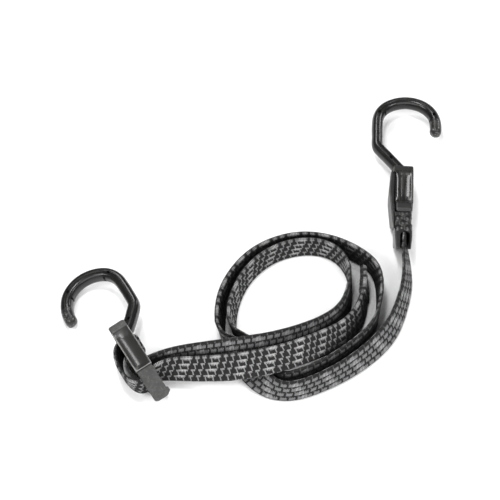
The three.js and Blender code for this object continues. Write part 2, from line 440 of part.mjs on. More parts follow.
// ------------------------------------------------------------------- adjuster
const adjuster = poseGroup(ADJUSTER_POSE);
{
  const path = hookPath(ADJUSTER_SHANK, ADJUSTER_TIP, ADJUSTER_CROOK, -1);
  const foot = [0, -10.5];
  let rootBody = solid(block(-5.2, 5.6, -9.4, -2.4, -INNER_HALF + GAP, INNER_HALF - GAP));
  rootBody = rootBody.add(solid(rod(0, -5.9, 2.3, -HALF_DEPTH + 1.3, HALF_DEPTH - 1.3)));
  add(adjuster, 'adjuster_hook', geometryOf(hookJacket(path, rootBody, foot, [0.135, 0.51, 0.86])), nylon);
  add(adjuster, 'adjuster_hook_core', geometryOf(hookCore(path, foot)), steel);

  // Frame: two cheeks, cap plate, two round bars and an end bar in one moulding.
  const W = FRAME_HALF_W, L = FRAME_LEN;
  const cheek = [[-W + 1, 0.6], [W, 0.6], [W + 0.8, -0.2], [W + 0.8, -L + 2.2], [W - 1.2, -L], [-W + 2, -L], [-W, -L + 2.2], [-W, -0.4]];
  const lowerCheek = [[-W + 0.8, 0], [W - 0.8, 0], [W, -0.8], [W, -LOWER_CHEEK + 2.2], [W - 2, -LOWER_CHEEK], [-W + 4.6, -LOWER_CHEEK], [-W, -LOWER_CHEEK + 8], [-W, -0.8]];
  let frame = solid(plate(cheek, INNER_HALF, HALF_DEPTH)).add(solid(plate(lowerCheek, -HALF_DEPTH, -INNER_HALF)));
  frame = frame.add(solid(block(-W + 0.8, 5.2, -2.05, -0.05, -INNER_HALF - 0.5, INNER_HALF + 0.5)));
  const endTop = [[-4.9, -72.7], [5.4, -72.7], [7.6, -71.3], [7.6, -67.7], [5.4, -66.3], [-5.4, -66.3]], endFoot = [[-1.4, -57.9], [4.4, -57.9], [5.6, -57], [5.6, -55.2], [4.4, -54.2], [-1.8, -54.2]];
  frame = frame.add(orient(loft([[endTop, INNER_HALF + 0.5], [endFoot, -INNER_HALF - 0.5]].map(([ring, z]) => ring.map(([x, y]) => V(x, y, z))))));
  for (const [x, y] of [BAR_A, BAR_B]) frame = frame.add(solid(rod(x, y, BAR_R, -INNER_HALF - 0.5, INNER_HALF + 0.5, 14)));
  for (const s of [1, -1]) {
    const z0 = s > 0 ? HALF_DEPTH - 0.8 : -HALF_DEPTH - 1, z1 = s > 0 ? HALF_DEPTH + 1 : -HALF_DEPTH + 0.8;
    frame = frame.subtract(solid(block(-W + 1.1, W - 1.1, -43.4, -6.4, z0, z1)));
    const b0 = s > 0 ? INNER_HALF - 1 : -HALF_DEPTH + 1.0, b1 = s > 0 ? HALF_DEPTH - 1.0 : -INNER_HALF + 1;
    frame = frame.subtract(solid(rod(0, -5.9, 2.6, b0, b1)));
  }
  // Way out for the hook's shank, and relief where the tail turns upright as it leaves.
  frame = frame.subtract(orient(planarSweep(path.slice(0, 5), HOOK_SECTION.map(([a, b]) => [a * 1.1, b * 1.07]), 12)));
  frame = frame.subtract(solid(block(1.5, W + 1, -52, -38, -INNER_HALF - 1.3, -INNER_HALF + 1)));
  add(adjuster, 'adjuster_frame', geometryOf(frame), nylon);
}

// ---------------------------------------------------------------------- strap
function ribbon(from, to, thick, trim0 = GAP / 2, trim1 = GAP / 2) {
  const h = thick / 2, half = STRAP_WIDTH / 2, rings = [];
  const P = ROUTE.map((r) => V(r[0], r[1], r[2])), Wd = ROUTE.map((r) => V(r[3], r[4], r[5]));
  for (let i = from; i <= to; i++) {
    const t = P[Math.min(i + 1, P.length - 1)].clone().sub(P[Math.max(i - 1, 0)]).normalize();
    const w = Wd[i].clone().addScaledVector(t, -Wd[i].dot(t)).normalize(), n = V(0, 0, 0).crossVectors(t, w);
    const p = P[i].clone();
    if (i === from) p.addScaledVector(t, trim0);
    if (i === to) p.addScaledVector(t, -trim1);
    const ring = [];
    for (const [a, b] of [[half, h], [half, -h], [-half, -h], [-half, h]]) ring.push(p.clone().addScaledVector(w, a).addScaledVector(n, b));
    rings.push(ring);
  }
  const g = loft(rings);
  return solid(g).volume() < 0 ? flip(g) : g;
}
const strap = new THREE.Group();
root.add(strap);
const END = ROUTE.length - 1;
add(strap, 'strap_run_upper', ribbon(CUT.upper, CUT.run, STRAP_THICK), webbing);
add(strap, 'strap_run', ribbon(CUT.run, CUT.outer, STRAP_THICK), webbing);
add(strap, 'strap_outer_loop', ribbon(CUT.outer, CUT.inner, STRAP_THICK), webbing);
add(strap, 'strap_inner_loop', ribbon(CUT.inner, CUT.lead, STRAP_THICK), webbing);
add(strap, 'strap_lead', ribbon(CUT.lead, CUT.leadAdj, STRAP_THICK), webbing);
add(strap, 'strap_lead_adjuster', ribbon(CUT.leadAdj, CUT.wrap, STRAP_THICK), webbing);
add(strap, 'strap_adjuster_wrap', ribbon(CUT.wrap, CUT.tailAdj, STRAP_THICK), webbing);
add(strap, 'strap_tail_adjuster', ribbon(CUT.tailAdj, CUT.tail, STRAP_THICK), webbing);
add(strap, 'strap_tail', ribbon(CUT.tail, CUT.hem, STRAP_THICK), webbing);
add(strap, 'strap_tail_end', ribbon(CUT.hem, END, HEM_THICK, GAP / 2, 0), webbing);

// Bar tack across the hem, standing proud of its outer face.
{
  const i = CUT.hem + 1, p = V(...ROUTE[i].slice(0, 3)), q = V(...ROUTE[i + 1].slice(0, 3));
  const t = q.clone().sub(p).normalize(), w0 = V(...ROUTE[i].slice(3)), w = w0.addScaledVector(t, -w0.dot(t)).normalize(), n = V(0, 0, 0).crossVectors(t, w);
  const bars = [];
  for (const s of [0, 3.2]) bars.push(new THREE.BoxGeometry(0.7, 16, 0.5).translate(s, 0, 0));
  bars.push(new THREE.BoxGeometry(3.9, 0.7, 0.5).translate(1.6, 7.6, 0), new THREE.BoxGeometry(3.9, 0.7, 0.5).translate(1.6, -7.6, 0));
  let tack = solid(bars[0]);
  for (const b of bars.slice(1)) tack = tack.add(solid(b));
  const g = geometryOf(tack);
  g.applyMatrix4(new THREE.Matrix4().makeBasis(t, w, n).setPosition(p.addScaledVector(n, HEM_THICK / 2 + 0.55)));
  add(strap, 'tail_stitching', g, thread);
}

export default root;
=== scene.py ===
# Flat adjustable bungee strap in a loose coil: woven elastic webbing, a moulded
# hook and body sewn to one end, a hooked slide adjuster on the other.
import math

import bmesh
import bpy
import numpy as np
from mathutils import Matrix, Vector


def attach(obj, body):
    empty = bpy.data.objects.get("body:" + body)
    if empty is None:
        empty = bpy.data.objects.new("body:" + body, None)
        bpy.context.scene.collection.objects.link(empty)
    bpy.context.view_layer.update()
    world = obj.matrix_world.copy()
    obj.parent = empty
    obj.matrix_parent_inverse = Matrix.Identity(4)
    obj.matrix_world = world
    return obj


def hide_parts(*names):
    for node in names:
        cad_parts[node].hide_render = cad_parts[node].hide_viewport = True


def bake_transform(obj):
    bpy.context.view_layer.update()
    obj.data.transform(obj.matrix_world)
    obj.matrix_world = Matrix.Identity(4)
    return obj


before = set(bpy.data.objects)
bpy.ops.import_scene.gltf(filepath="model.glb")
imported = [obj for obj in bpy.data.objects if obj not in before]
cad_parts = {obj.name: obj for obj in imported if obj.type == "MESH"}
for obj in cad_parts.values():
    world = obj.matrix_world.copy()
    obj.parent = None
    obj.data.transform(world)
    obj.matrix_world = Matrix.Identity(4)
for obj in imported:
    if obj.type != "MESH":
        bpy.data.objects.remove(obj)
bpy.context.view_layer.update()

scene = bpy.context.scene

# ------------------------------------------------------------------ dimensions (mm)
ORIGIN = np.array([4.803, -5.839, 0.0])
STRAP_WIDTH, STRAP_HALF_THICK = 20.0, 1.22
ROWS_ACROSS, EDGE_ROUND = 4.04, 1.15
CUT = dict(upper=0, run=6, outer=26, inner=75, lead=102, lead_adj=119, wrap=128, tail_adj=172, tail=181, hem=197)
FIXED = (np.array([119.9, 61.16, 12.75]), np.array([[0.99828, -0.0586, 0], [0.0586, 0.99828, 0], [0, 0, 1]]))
ADJUSTER = (np.array([-96.372, -81.466, 13.979]), np.array([[0.84269, 0.49685, 0.20741], [-0.49386, 0.86674, -0.06976], [-0.21442, -0.04365, 0.97576]]))
FIXED_CROOK, ADJUSTER_CROOK = (-0.7, 28.4), (0.0, 14.2)
CROOK = [(-20.6, 8), (-20.8, 18), (-20.3, 26), (-18.2, 31.8), (-14.3, 36.6), (-8.6, 40.2), (-1, 42.4), (6.5, 42.3), (13.6, 40), (19.4, 35.8), (23.4, 30)]
FIXED_SHANK = [(0.5, -5), (-0.5, 1.2), (-5.7, 8), (-12.7, 16.4), (-18.2, 22.7), (-20.8, 26.6)]
FIXED_TIP = [(25.3, 23), (25.5, 16.4), (24.9, 11.6)]
ADJUSTER_SHANK = [(0, -6.5), (-4.5, -2.8), (-10.6, 2.9), (-15.4, 8), (-18.6, 11.6), (-20, 14.2)]
ADJUSTER_TIP = [(25.6, 23.5), (26.3, 17.5), (26.1, 13.5)]
HOOK_HALF_R, HOOK_HALF_D = 4.4, 5.75

# Strap centreline from the sewn block to the tail end: x, y, z, then the unit vector across its width.
ROUTE = np.array([
    [118.47, 4.65, 12.75, -0.059, -0.002, 0.998],
    [118.47, -2.88, 12.69, -0.168, -0.018, 0.986],
    [118.59, -10.4, 12.45, -0.263, -0.053, 0.963],
    [118.81, -17.91, 11.95, -0.314, -0.087, 0.946],
    [119.01, -25.4, 11.29, -0.339, -0.087, 0.937],
    [118.78, -32.9, 10.69, -0.358, -0.034, 0.933],
    [117.77, -40.34, 10.3, -0.368, 0.034, 0.929],
    [116.12, -47.68, 10.12, -0.371, 0.081, 0.925],
    [114.08, -54.92, 10.03, -0.38, 0.105, 0.919],
    [111.72, -62.07, 9.94, -0.392, 0.129, 0.911],
    [108.93, -69.06, 9.84, -0.404, 0.166, 0.9],
    [105.54, -75.78, 9.73, -0.404, 0.218, 0.888],
    [101.47, -82.1, 9.67, -0.387, 0.274, 0.88],
    [96.79, -88, 9.67, -0.355, 0.314, 0.88],
    [91.66, -93.5, 9.74, -0.318, 0.332, 0.888],
    [86.21, -98.69, 9.83, -0.284, 0.333, 0.899],
    [80.48, -103.57, 9.92, -0.252, 0.329, 0.91],
    [74.5, -108.14, 10, -0.22, 0.321, 0.921],
    [68.29, -112.38, 10.08, -0.189, 0.308, 0.933],
    [61.88, -116.33, 10.15, -0.161, 0.29, 0.943],
    [55.3, -119.98, 10.19, -0.137, 0.273, 0.952],
    [48.54, -123.3, 10.22, -0.116, 0.259, 0.959],
    [41.6, -126.21, 10.26, -0.086, 0.252, 0.964],
    [34.41, -128.41, 10.31, -0.051, 0.244, 0.968],
    [26.95, -129.25, 10.3, -0.008, 0.249, 0.969],
    [19.58, -127.9, 10.08, 0.074, 0.322, 0.944],
    [13.11, -124.16, 9.57, 0.268, 0.466, 0.843],
    [7.78, -118.93, 8.65, 0.494, 0.558, 0.667],
    [3.19, -113.08, 7.49, 0.648, 0.565, 0.51],
    [-1.07, -106.93, 6.72, 0.742, 0.521, 0.423],
    [-5.4, -100.78, 6.97, 0.745, 0.507, 0.433],
    [-10.24, -95.12, 8.22, 0.656, 0.455, 0.602],
    [-15.53, -89.94, 9.73, 0.413, 0.193, 0.89],
    [-20.06, -84.04, 10.57, -0.021, -0.051, 0.999],
    [-22.21, -76.87, 10.5, -0.251, -0.001, 0.968],
    [-22.56, -69.35, 10.26, -0.297, 0.031, 0.955],
    [-22.2, -61.84, 10.15, -0.299, 0.025, 0.954],
    [-21.27, -54.37, 10.17, -0.283, 0.044, 0.958],
    [-19.53, -47.05, 10.22, -0.258, 0.072, 0.964],
    [-16.94, -39.99, 10.25, -0.23, 0.096, 0.969],
    [-13.6, -33.25, 10.26, -0.205, 0.113, 0.972],
    [-9.65, -26.84, 10.27, -0.183, 0.124, 0.975],
    [-5.12, -20.84, 10.27, -0.161, 0.134, 0.978],
    [0.05, -15.37, 10.28, -0.135, 0.143, 0.981],
    [5.85, -10.57, 10.28, -0.108, 0.148, 0.983],
    [12.18, -6.52, 10.29, -0.084, 0.151, 0.985],
    [18.94, -3.2, 10.29, -0.064, 0.15, 0.987],
    [26, -0.61, 10.28, -0.045, 0.148, 0.988],
    [33.31, 1.15, 10.28, -0.025, 0.144, 0.989],
    [40.79, 1.95, 10.28, -0.005, 0.138, 0.99],
    [48.31, 1.71, 10.28, 0.013, 0.13, 0.992],
    [55.74, 0.53, 10.28, 0.026, 0.119, 0.993],
    [62.99, -1.47, 10.28, 0.036, 0.108, 0.994],
    [69.99, -4.22, 10.27, 0.044, 0.096, 0.994],
    [76.67, -7.7, 10.27, 0.048, 0.082, 0.996],
    [82.97, -11.81, 10.27, 0.05, 0.07, 0.996],
    [88.78, -16.59, 10.28, 0.06, 0.064, 0.996],
    [93.55, -22.39, 10.29, 0.088, 0.056, 0.995],
    [96.51, -29.28, 10.3, 0.123, 0.034, 0.992],
    [97.75, -36.69, 10.3, 0.137, 0.011, 0.991],
    [97.91, -44.21, 10.3, 0.128, -0.004, 0.992],
    [97.4, -51.72, 10.3, 0.101, -0.011, 0.995],
    [96.34, -59.17, 10.3, 0.06, -0.009, 0.998],
    [94.68, -66.51, 10.33, 0.011, 0.001, 1],
    [92.14, -73.59, 10.35, -0.045, 0.024, 0.999],
    [88.5, -80.17, 10.36, -0.099, 0.063, 0.993],
    [83.89, -86.11, 10.32, -0.137, 0.113, 0.984],
    [78.64, -91.5, 10.27, -0.156, 0.157, 0.975],
    [73.01, -96.5, 10.24, -0.16, 0.187, 0.969],
    [67.12, -101.18, 10.23, -0.156, 0.206, 0.966],
    [61.02, -105.59, 10.23, -0.15, 0.22, 0.964],
    [54.72, -109.7, 10.24, -0.146, 0.237, 0.961],
    [48.22, -113.5, 10.26, -0.139, 0.262, 0.955],
    [41.51, -116.92, 10.33, -0.125, 0.296, 0.947],
    [34.57, -119.82, 10.41, -0.115, 0.328, 0.938],
    [27.3, -121.68, 10.28, -0.089, 0.366, 0.926],
    [20.03, -120.6, 9.44, 0.095, 0.51, 0.855],
    [14.69, -115.6, 7.95, 0.509, 0.549, 0.663],
    [10.6, -109.44, 6.57, 0.684, 0.523, 0.509],
    [6.6, -103.11, 5.85, 0.753, 0.501, 0.427],
    [2.34, -96.93, 6.27, 0.747, 0.482, 0.458],
    [-2.47, -91.38, 7.94, 0.653, 0.378, 0.656],
    [-7.55, -86.2, 9.92, 0.378, 0.051, 0.924],
    [-11.67, -80.04, 10.92, -0.075, -0.072, 0.995],
    [-13.67, -72.82, 10.79, -0.258, 0.013, 0.966],
    [-13.93, -65.31, 10.39, -0.292, 0.06, 0.954],
    [-13.03, -57.84, 10.22, -0.283, 0.058, 0.957],
    [-11.31, -50.51, 10.22, -0.258, 0.069, 0.964],
    [-8.91, -43.38, 10.26, -0.232, 0.086, 0.969],
    [-5.87, -36.5, 10.27, -0.207, 0.103, 0.973],
    [-2.13, -29.97, 10.28, -0.181, 0.116, 0.977],
    [2.34, -23.92, 10.3, -0.155, 0.126, 0.98],
    [7.52, -18.46, 10.32, -0.129, 0.133, 0.983],
    [13.35, -13.71, 10.35, -0.101, 0.137, 0.986],
    [19.75, -9.76, 10.37, -0.076, 0.139, 0.987],
    [26.62, -6.7, 10.38, -0.053, 0.142, 0.988],
    [33.85, -4.62, 10.39, -0.032, 0.141, 0.99],
    [41.3, -3.57, 10.41, -0.011, 0.133, 0.991],
    [48.81, -3.68, 10.42, 0.011, 0.121, 0.993],
    [56.16, -5.26, 10.44, 0.033, 0.103, 0.994],
    [62.89, -8.57, 10.45, 0.052, 0.08, 0.995],
    [68.46, -13.6, 10.46, 0.059, 0.052, 0.997],
    [72.46, -19.95, 10.47, 0.046, 0.022, 0.999],
    [74.77, -27.09, 10.49, 0.009, 0.005, 1],
    [75.49, -34.57, 10.51, -0.049, 0.001, 0.999],
    [75, -42.08, 10.48, -0.12, 0.006, 0.993],
    [73.74, -49.5, 10.36, -0.198, 0.022, 0.98],
    [71.5, -56.67, 10.19, -0.258, 0.09, 0.962],
    [67.68, -63.13, 10.11, -0.261, 0.203, 0.944],
    [62.53, -68.6, 10.25, -0.224, 0.3, 0.927],
    [56.7, -73.31, 10.78, -0.163, 0.386, 0.908],
    [50.62, -77.58, 11.89, -0.102, 0.456, 0.884],
    [44.47, -81.56, 13.55, -0.056, 0.507, 0.86],
    [38.26, -85.33, 15.53, -0.035, 0.532, 0.846],
    [31.92, -88.85, 17.55, -0.026, 0.539, 0.842],
    [25.34, -92.01, 19.36, -0.03, 0.531, 0.847],
    [18.43, -94.69, 20.7, -0.05, 0.518, 0.854],
    [11.24, -96.79, 21.42, -0.077, 0.512, 0.856],
    [3.88, -98.34, 21.59, -0.099, 0.514, 0.852],
    [-3.55, -99.5, 21.36, -0.112, 0.515, 0.85],
    [-11.01, -100.4, 20.88, -0.12, 0.508, 0.853],
    [-18.47, -101.15, 20.27, -0.119, 0.491, 0.863],
    [-25.95, -101.79, 19.63, -0.112, 0.464, 0.879],
    [-33.42, -102.4, 19.03, -0.104, 0.429, 0.897],
    [-40.9, -103.09, 18.51, -0.099, 0.39, 0.915],
    [-48.36, -103.97, 18.1, -0.089, 0.345, 0.935],
    [-55.8, -105.15, 17.88, -0.061, 0.281, 0.958],
    [-63.15, -106.74, 17.9, -0.032, 0.176, 0.984],
    [-70.36, -108.89, 17.88, -0.072, 0.058, 0.996],
    [-72.76, -109.83, 17.67, -0.13, 0.016, 0.991],
    [-75.12, -110.84, 17.29, -0.185, -0.023, 0.983],
    [-77.46, -111.82, 16.77, -0.211, -0.04, 0.977],
    [-79.85, -112.64, 16.21, -0.214, -0.043, 0.976],
    [-82.33, -113.12, 15.65, -0.214, -0.043, 0.976],
    [-84.84, -112.95, 15.1, -0.214, -0.044, 0.976],
    [-87.04, -111.71, 14.68, -0.214, -0.044, 0.976],
    [-88.27, -109.5, 14.51, -0.214, -0.044, 0.976],
    [-88.12, -106.95, 14.65, -0.214, -0.044, 0.976],
    [-86.87, -104.74, 15.03, -0.214, -0.044, 0.976],
    [-85.11, -102.9, 15.5, -0.214, -0.044, 0.976],
    [-83.25, -101.16, 15.98, -0.214, -0.044, 0.976],
    [-81.61, -99.22, 16.43, -0.214, -0.044, 0.976],
    [-80.55, -96.89, 16.77, -0.214, -0.044, 0.976],
    [-80.51, -94.33, 16.89, -0.214, -0.044, 0.976],
    [-81.71, -92.09, 16.72, -0.214, -0.044, 0.976],
    [-83.86, -90.77, 16.31, -0.214, -0.044, 0.976],
    [-86.37, -90.63, 15.77, -0.214, -0.044, 0.976],
    [-88.8, -91.3, 15.2, -0.214, -0.044, 0.976],
    [-91.06, -92.43, 14.66, -0.214, -0.044, 0.976],
    [-93.12, -93.92, 14.14, -0.214, -0.044, 0.976],
    [-94.82, -95.8, 13.68, -0.214, -0.044, 0.976],
    [-96.04, -98.05, 13.31, -0.214, -0.044, 0.976],
    [-96.71, -100.53, 13.05, -0.214, -0.044, 0.976],
    [-96.92, -103.11, 12.89, -0.214, -0.044, 0.976],
    [-96.76, -105.69, 12.81, -0.214, -0.044, 0.976],
    [-96.32, -108.24, 12.79, -0.214, -0.044, 0.976],
    [-95.65, -110.74, 12.83, -0.214, -0.044, 0.976],
    [-94.79, -113.18, 12.91, -0.214, -0.044, 0.976],
    [-93.74, -115.55, 13.03, -0.214, -0.044, 0.976],
    [-92.53, -117.83, 13.2, -0.214, -0.044, 0.976],
    [-91.15, -120.02, 13.4, -0.214, -0.044, 0.976],
    [-89.63, -122.1, 13.64, -0.214, -0.044, 0.976],
    [-87.94, -124.05, 13.93, -0.214, -0.044, 0.976],
    [-86.08, -125.81, 14.26, -0.214, -0.044, 0.976],
    [-83.99, -127.29, 14.65, -0.214, -0.044, 0.976],
    [-81.66, -128.29, 15.12, -0.214, -0.044, 0.976],
    [-79.15, -128.42, 15.66, -0.214, -0.044, 0.976],
    [-76.84, -127.45, 16.21, -0.215, -0.043, 0.976],
    [-74.95, -125.77, 16.71, -0.215, -0.043, 0.976],
    [-73.39, -123.74, 17.13, -0.211, -0.034, 0.977],
    [-71.94, -121.62, 17.46, -0.185, 0.014, 0.983],
    [-70.33, -119.6, 17.6, -0.12, 0.104, 0.987],
    [-68.38, -117.9, 17.5, -0.037, 0.188, 0.982],
    [-61.44, -115.2, 16.76, -0.015, 0.378, 0.925],
    [-53.98, -114.26, 16.41, -0.017, 0.514, 0.858],
    [-46.45, -114.23, 16.59, -0.026, 0.577, 0.817],
    [-38.93, -114.45, 17.04, -0.035, 0.623, 0.781],
    [-31.42, -114.65, 17.64, -0.052, 0.67, 0.741],
    [-23.93, -114.78, 18.42, -0.075, 0.722, 0.687],
    [-16.48, -114.9, 19.58, -0.105, 0.775, 0.624],
    [-9.11, -114.95, 21.14, -0.137, 0.811, 0.569],
    [-1.77, -114.7, 22.81, -0.169, 0.826, 0.537],
    [5.58, -114.05, 24.32, -0.196, 0.828, 0.525],
    [12.93, -113.02, 25.62, -0.22, 0.817, 0.532],
    [20.26, -111.54, 26.56, -0.245, 0.79, 0.561],
    [27.47, -109.38, 26.85, -0.258, 0.75, 0.609],
    [34.37, -106.44, 26.22, -0.242, 0.714, 0.657],
    [40.81, -102.88, 24.66, -0.209, 0.699, 0.683],
    [46.81, -98.95, 22.37, -0.186, 0.703, 0.687],
    [52.48, -94.82, 19.62, -0.181, 0.707, 0.684],
    [57.99, -90.56, 16.74, -0.193, 0.697, 0.691],
    [63.46, -86.11, 14.06, -0.228, 0.656, 0.719],
    [68.85, -81.3, 11.95, -0.291, 0.564, 0.772],
    [73.93, -75.89, 10.67, -0.354, 0.421, 0.835],
    [78.37, -69.84, 10.16, -0.37, 0.265, 0.89],
    [81.89, -63.18, 10.12, -0.339, 0.134, 0.931],
    [84.32, -56.06, 10.29, -0.279, 0.043, 0.959],
    [85.68, -48.66, 10.52, -0.21, -0.003, 0.978],
    [86.22, -41.15, 10.71, -0.146, -0.016, 0.989],
    [86.21, -33.61, 10.83, -0.093, -0.015, 0.996],
    [85.91, -26.08, 10.9, -0.05, -0.01, 0.999],
])


def place(p):
    return (np.asarray(p, float) - ORIGIN) * 0.001


def local_to_world(pose, pts):
    at, axes = pose
    return place(np.asarray(pts, float) @ axes + at)


# ------------------------------------------------------------------ camera
ELEVATION, DISTANCE, MM_PER_PIXEL, IMAGE = math.radians(57.0), 1500.0, 0.77, 500
cam_data = bpy.data.cameras.new("camera")
cam = bpy.data.objects.new("camera", cam_data)
scene.collection.objects.link(cam)
cam.location = place((0, -DISTANCE * math.cos(ELEVATION), DISTANCE * math.sin(ELEVATION)))
cam.rotation_euler = (math.pi / 2 - ELEVATION, 0, 0)
cam_data.sensor_fit, cam_data.sensor_width = "HORIZONTAL", 36.0
cam_data.lens = 36.0 * (DISTANCE / MM_PER_PIXEL) / IMAGE
cam_data.clip_start, cam_data.clip_end = 0.05, 30
scene.camera = cam
scene.view_settings.view_transform = "Standard"
scene.view_settings.look = "None"


# ------------------------------------------------------------------ node helpers
class Sum:
    """A number in a shader tree: arithmetic on it makes Math nodes."""

    def __init__(self, tree, socket):
        self.tree, self.socket = tree, socket

    def op(self, name, *others, clamp=False):
        n = self.tree.nodes.new("ShaderNodeMath")
        n.operation, n.use_clamp = name, clamp
        for i, x in enumerate((self, *others)):
            if isinstance(x, Sum):
                self.tree.links.new(x.socket, n.inputs[i])
            else:
                n.inputs[i].default_value = float(x)
        return Sum(self.tree, n.outputs[0])

    def __add__(self, o): return self.op("ADD", o)
    def __radd__(self, o): return self.op("ADD", o)
    def __sub__(self, o): return self.op("SUBTRACT", o)
    def __rsub__(self, o): return (self * -1.0) + o
    def __mul__(self, o): return self.op("MULTIPLY", o)
    def __rmul__(self, o): return self.op("MULTIPLY", o)
    def floor(self): return self.op("FLOOR")
    def fract(self): return self.op("FRACT")
    def abs(self): return self.op("ABSOLUTE")
    def mod(self, o): return self.op("FLOORED_MODULO", o)
    def max(self, o): return self.op("MAXIMUM", o)
    def min(self, o): return self.op("MINIMUM", o)
    def sin(self): return self.op("SINE")
    def above(self, o): return self.op("GREATER_THAN", o)
    def below(self, o): return self.op("LESS_THAN", o)

    def rise(self, low, high):
        """0 below low, 1 above high, smooth between."""
        n = self.tree.nodes.new("ShaderNodeMapRange")
        n.interpolation_type = "SMOOTHSTEP"
        self.tree.links.new(self.socket, n.inputs["Value"])
        for name, x in (("From Min", low), ("From Max", high)):
            if isinstance(x, Sum):
                self.tree.links.new(x.socket, n.inputs[name])
            else:
                n.inputs[name].default_value = x
        return Sum(self.tree, n.outputs["Result"])


def new_material(name, color, roughness, **sockets):
    m = bpy.data.materials.new(name)
    m.use_nodes = True
    b = m.node_tree.nodes["Principled BSDF"]
    b.inputs["Base Color"].default_value = (*color, 1)
    b.inputs["Roughness"].default_value = roughness
    for k, v in sockets.items():
        b.inputs[k.replace("_", " ")].default_value = v
    m.diffuse_color = (*color, 1)
    return m, m.node_tree, b


def coords(tree, scale=1.0):
    n = tree.nodes.new("ShaderNodeTexCoord")
    v = tree.nodes.new("ShaderNodeVectorMath")
    v.operation = "SCALE"
    v.inputs["Scale"].default_value = scale
    tree.links.new(n.outputs["Object"], v.inputs[0])
    return v.outputs[0]


def noise(tree, vector, scale, detail=2.0, rough=0.5):
    n = tree.nodes.new("ShaderNodeTexNoise")
    n.inputs["Scale"].default_value = scale
    n.inputs["Detail"].default_value = detail
    n.inputs["Roughness"].default_value = rough
    tree.links.new(vector, n.inputs["Vector"])
    return Sum(tree, n.outputs["Fac"])


def ramp(tree, fac, stops):
    n = tree.nodes.new("ShaderNodeValToRGB")
    tree.links.new(fac.socket if isinstance(fac, Sum) else fac, n.inputs[0])
    e = n.color_ramp.elements
    while len(e) < len(stops):
        e.new(0.5)
    for x, (p, c) in zip(e, stops):
        x.position, x.color = p, (*c, 1)
    return n.outputs[0]


def mix_color(tree, fac, a, b, kind="MIX"):
    n = tree.nodes.new("ShaderNodeMix")
    n.data_type, n.blend_type = "RGBA", kind
    named = {s.identifier: s for s in n.inputs}
    for ident, x in (("Factor_Float", fac), ("A_Color", a), ("B_Color", b)):
        if isinstance(x, Sum):
            tree.links.new(x.socket, named[ident])
        elif isinstance(x, bpy.types.NodeSocket):
            tree.links.new(x, named[ident])
        else:
            named[ident].default_value = x if isinstance(x, (int, float)) else (*x, 1)
    return next(s for s in n.outputs if s.identifier == "Result_Color")


def bump(tree, shader, height, distance, strength=1.0):
    n = tree.nodes.new("ShaderNodeBump")
    n.inputs["Distance"].default_value = distance
    n.inputs["Strength"].default_value = strength
    tree.links.new(height.socket, n.inputs["Height"])
    tree.links.new(n.outputs[0], shader.inputs["Normal"])
    return n


# ------------------------------------------------------------------ webbing
ROW_SHIFT, BLOCK_LEN, BLOCK_HIGH = 0.335, 0.58, 0.28
TICK_TOP, TICK_RUN, TICK_HALF = 0.20, 0.12, 0.07


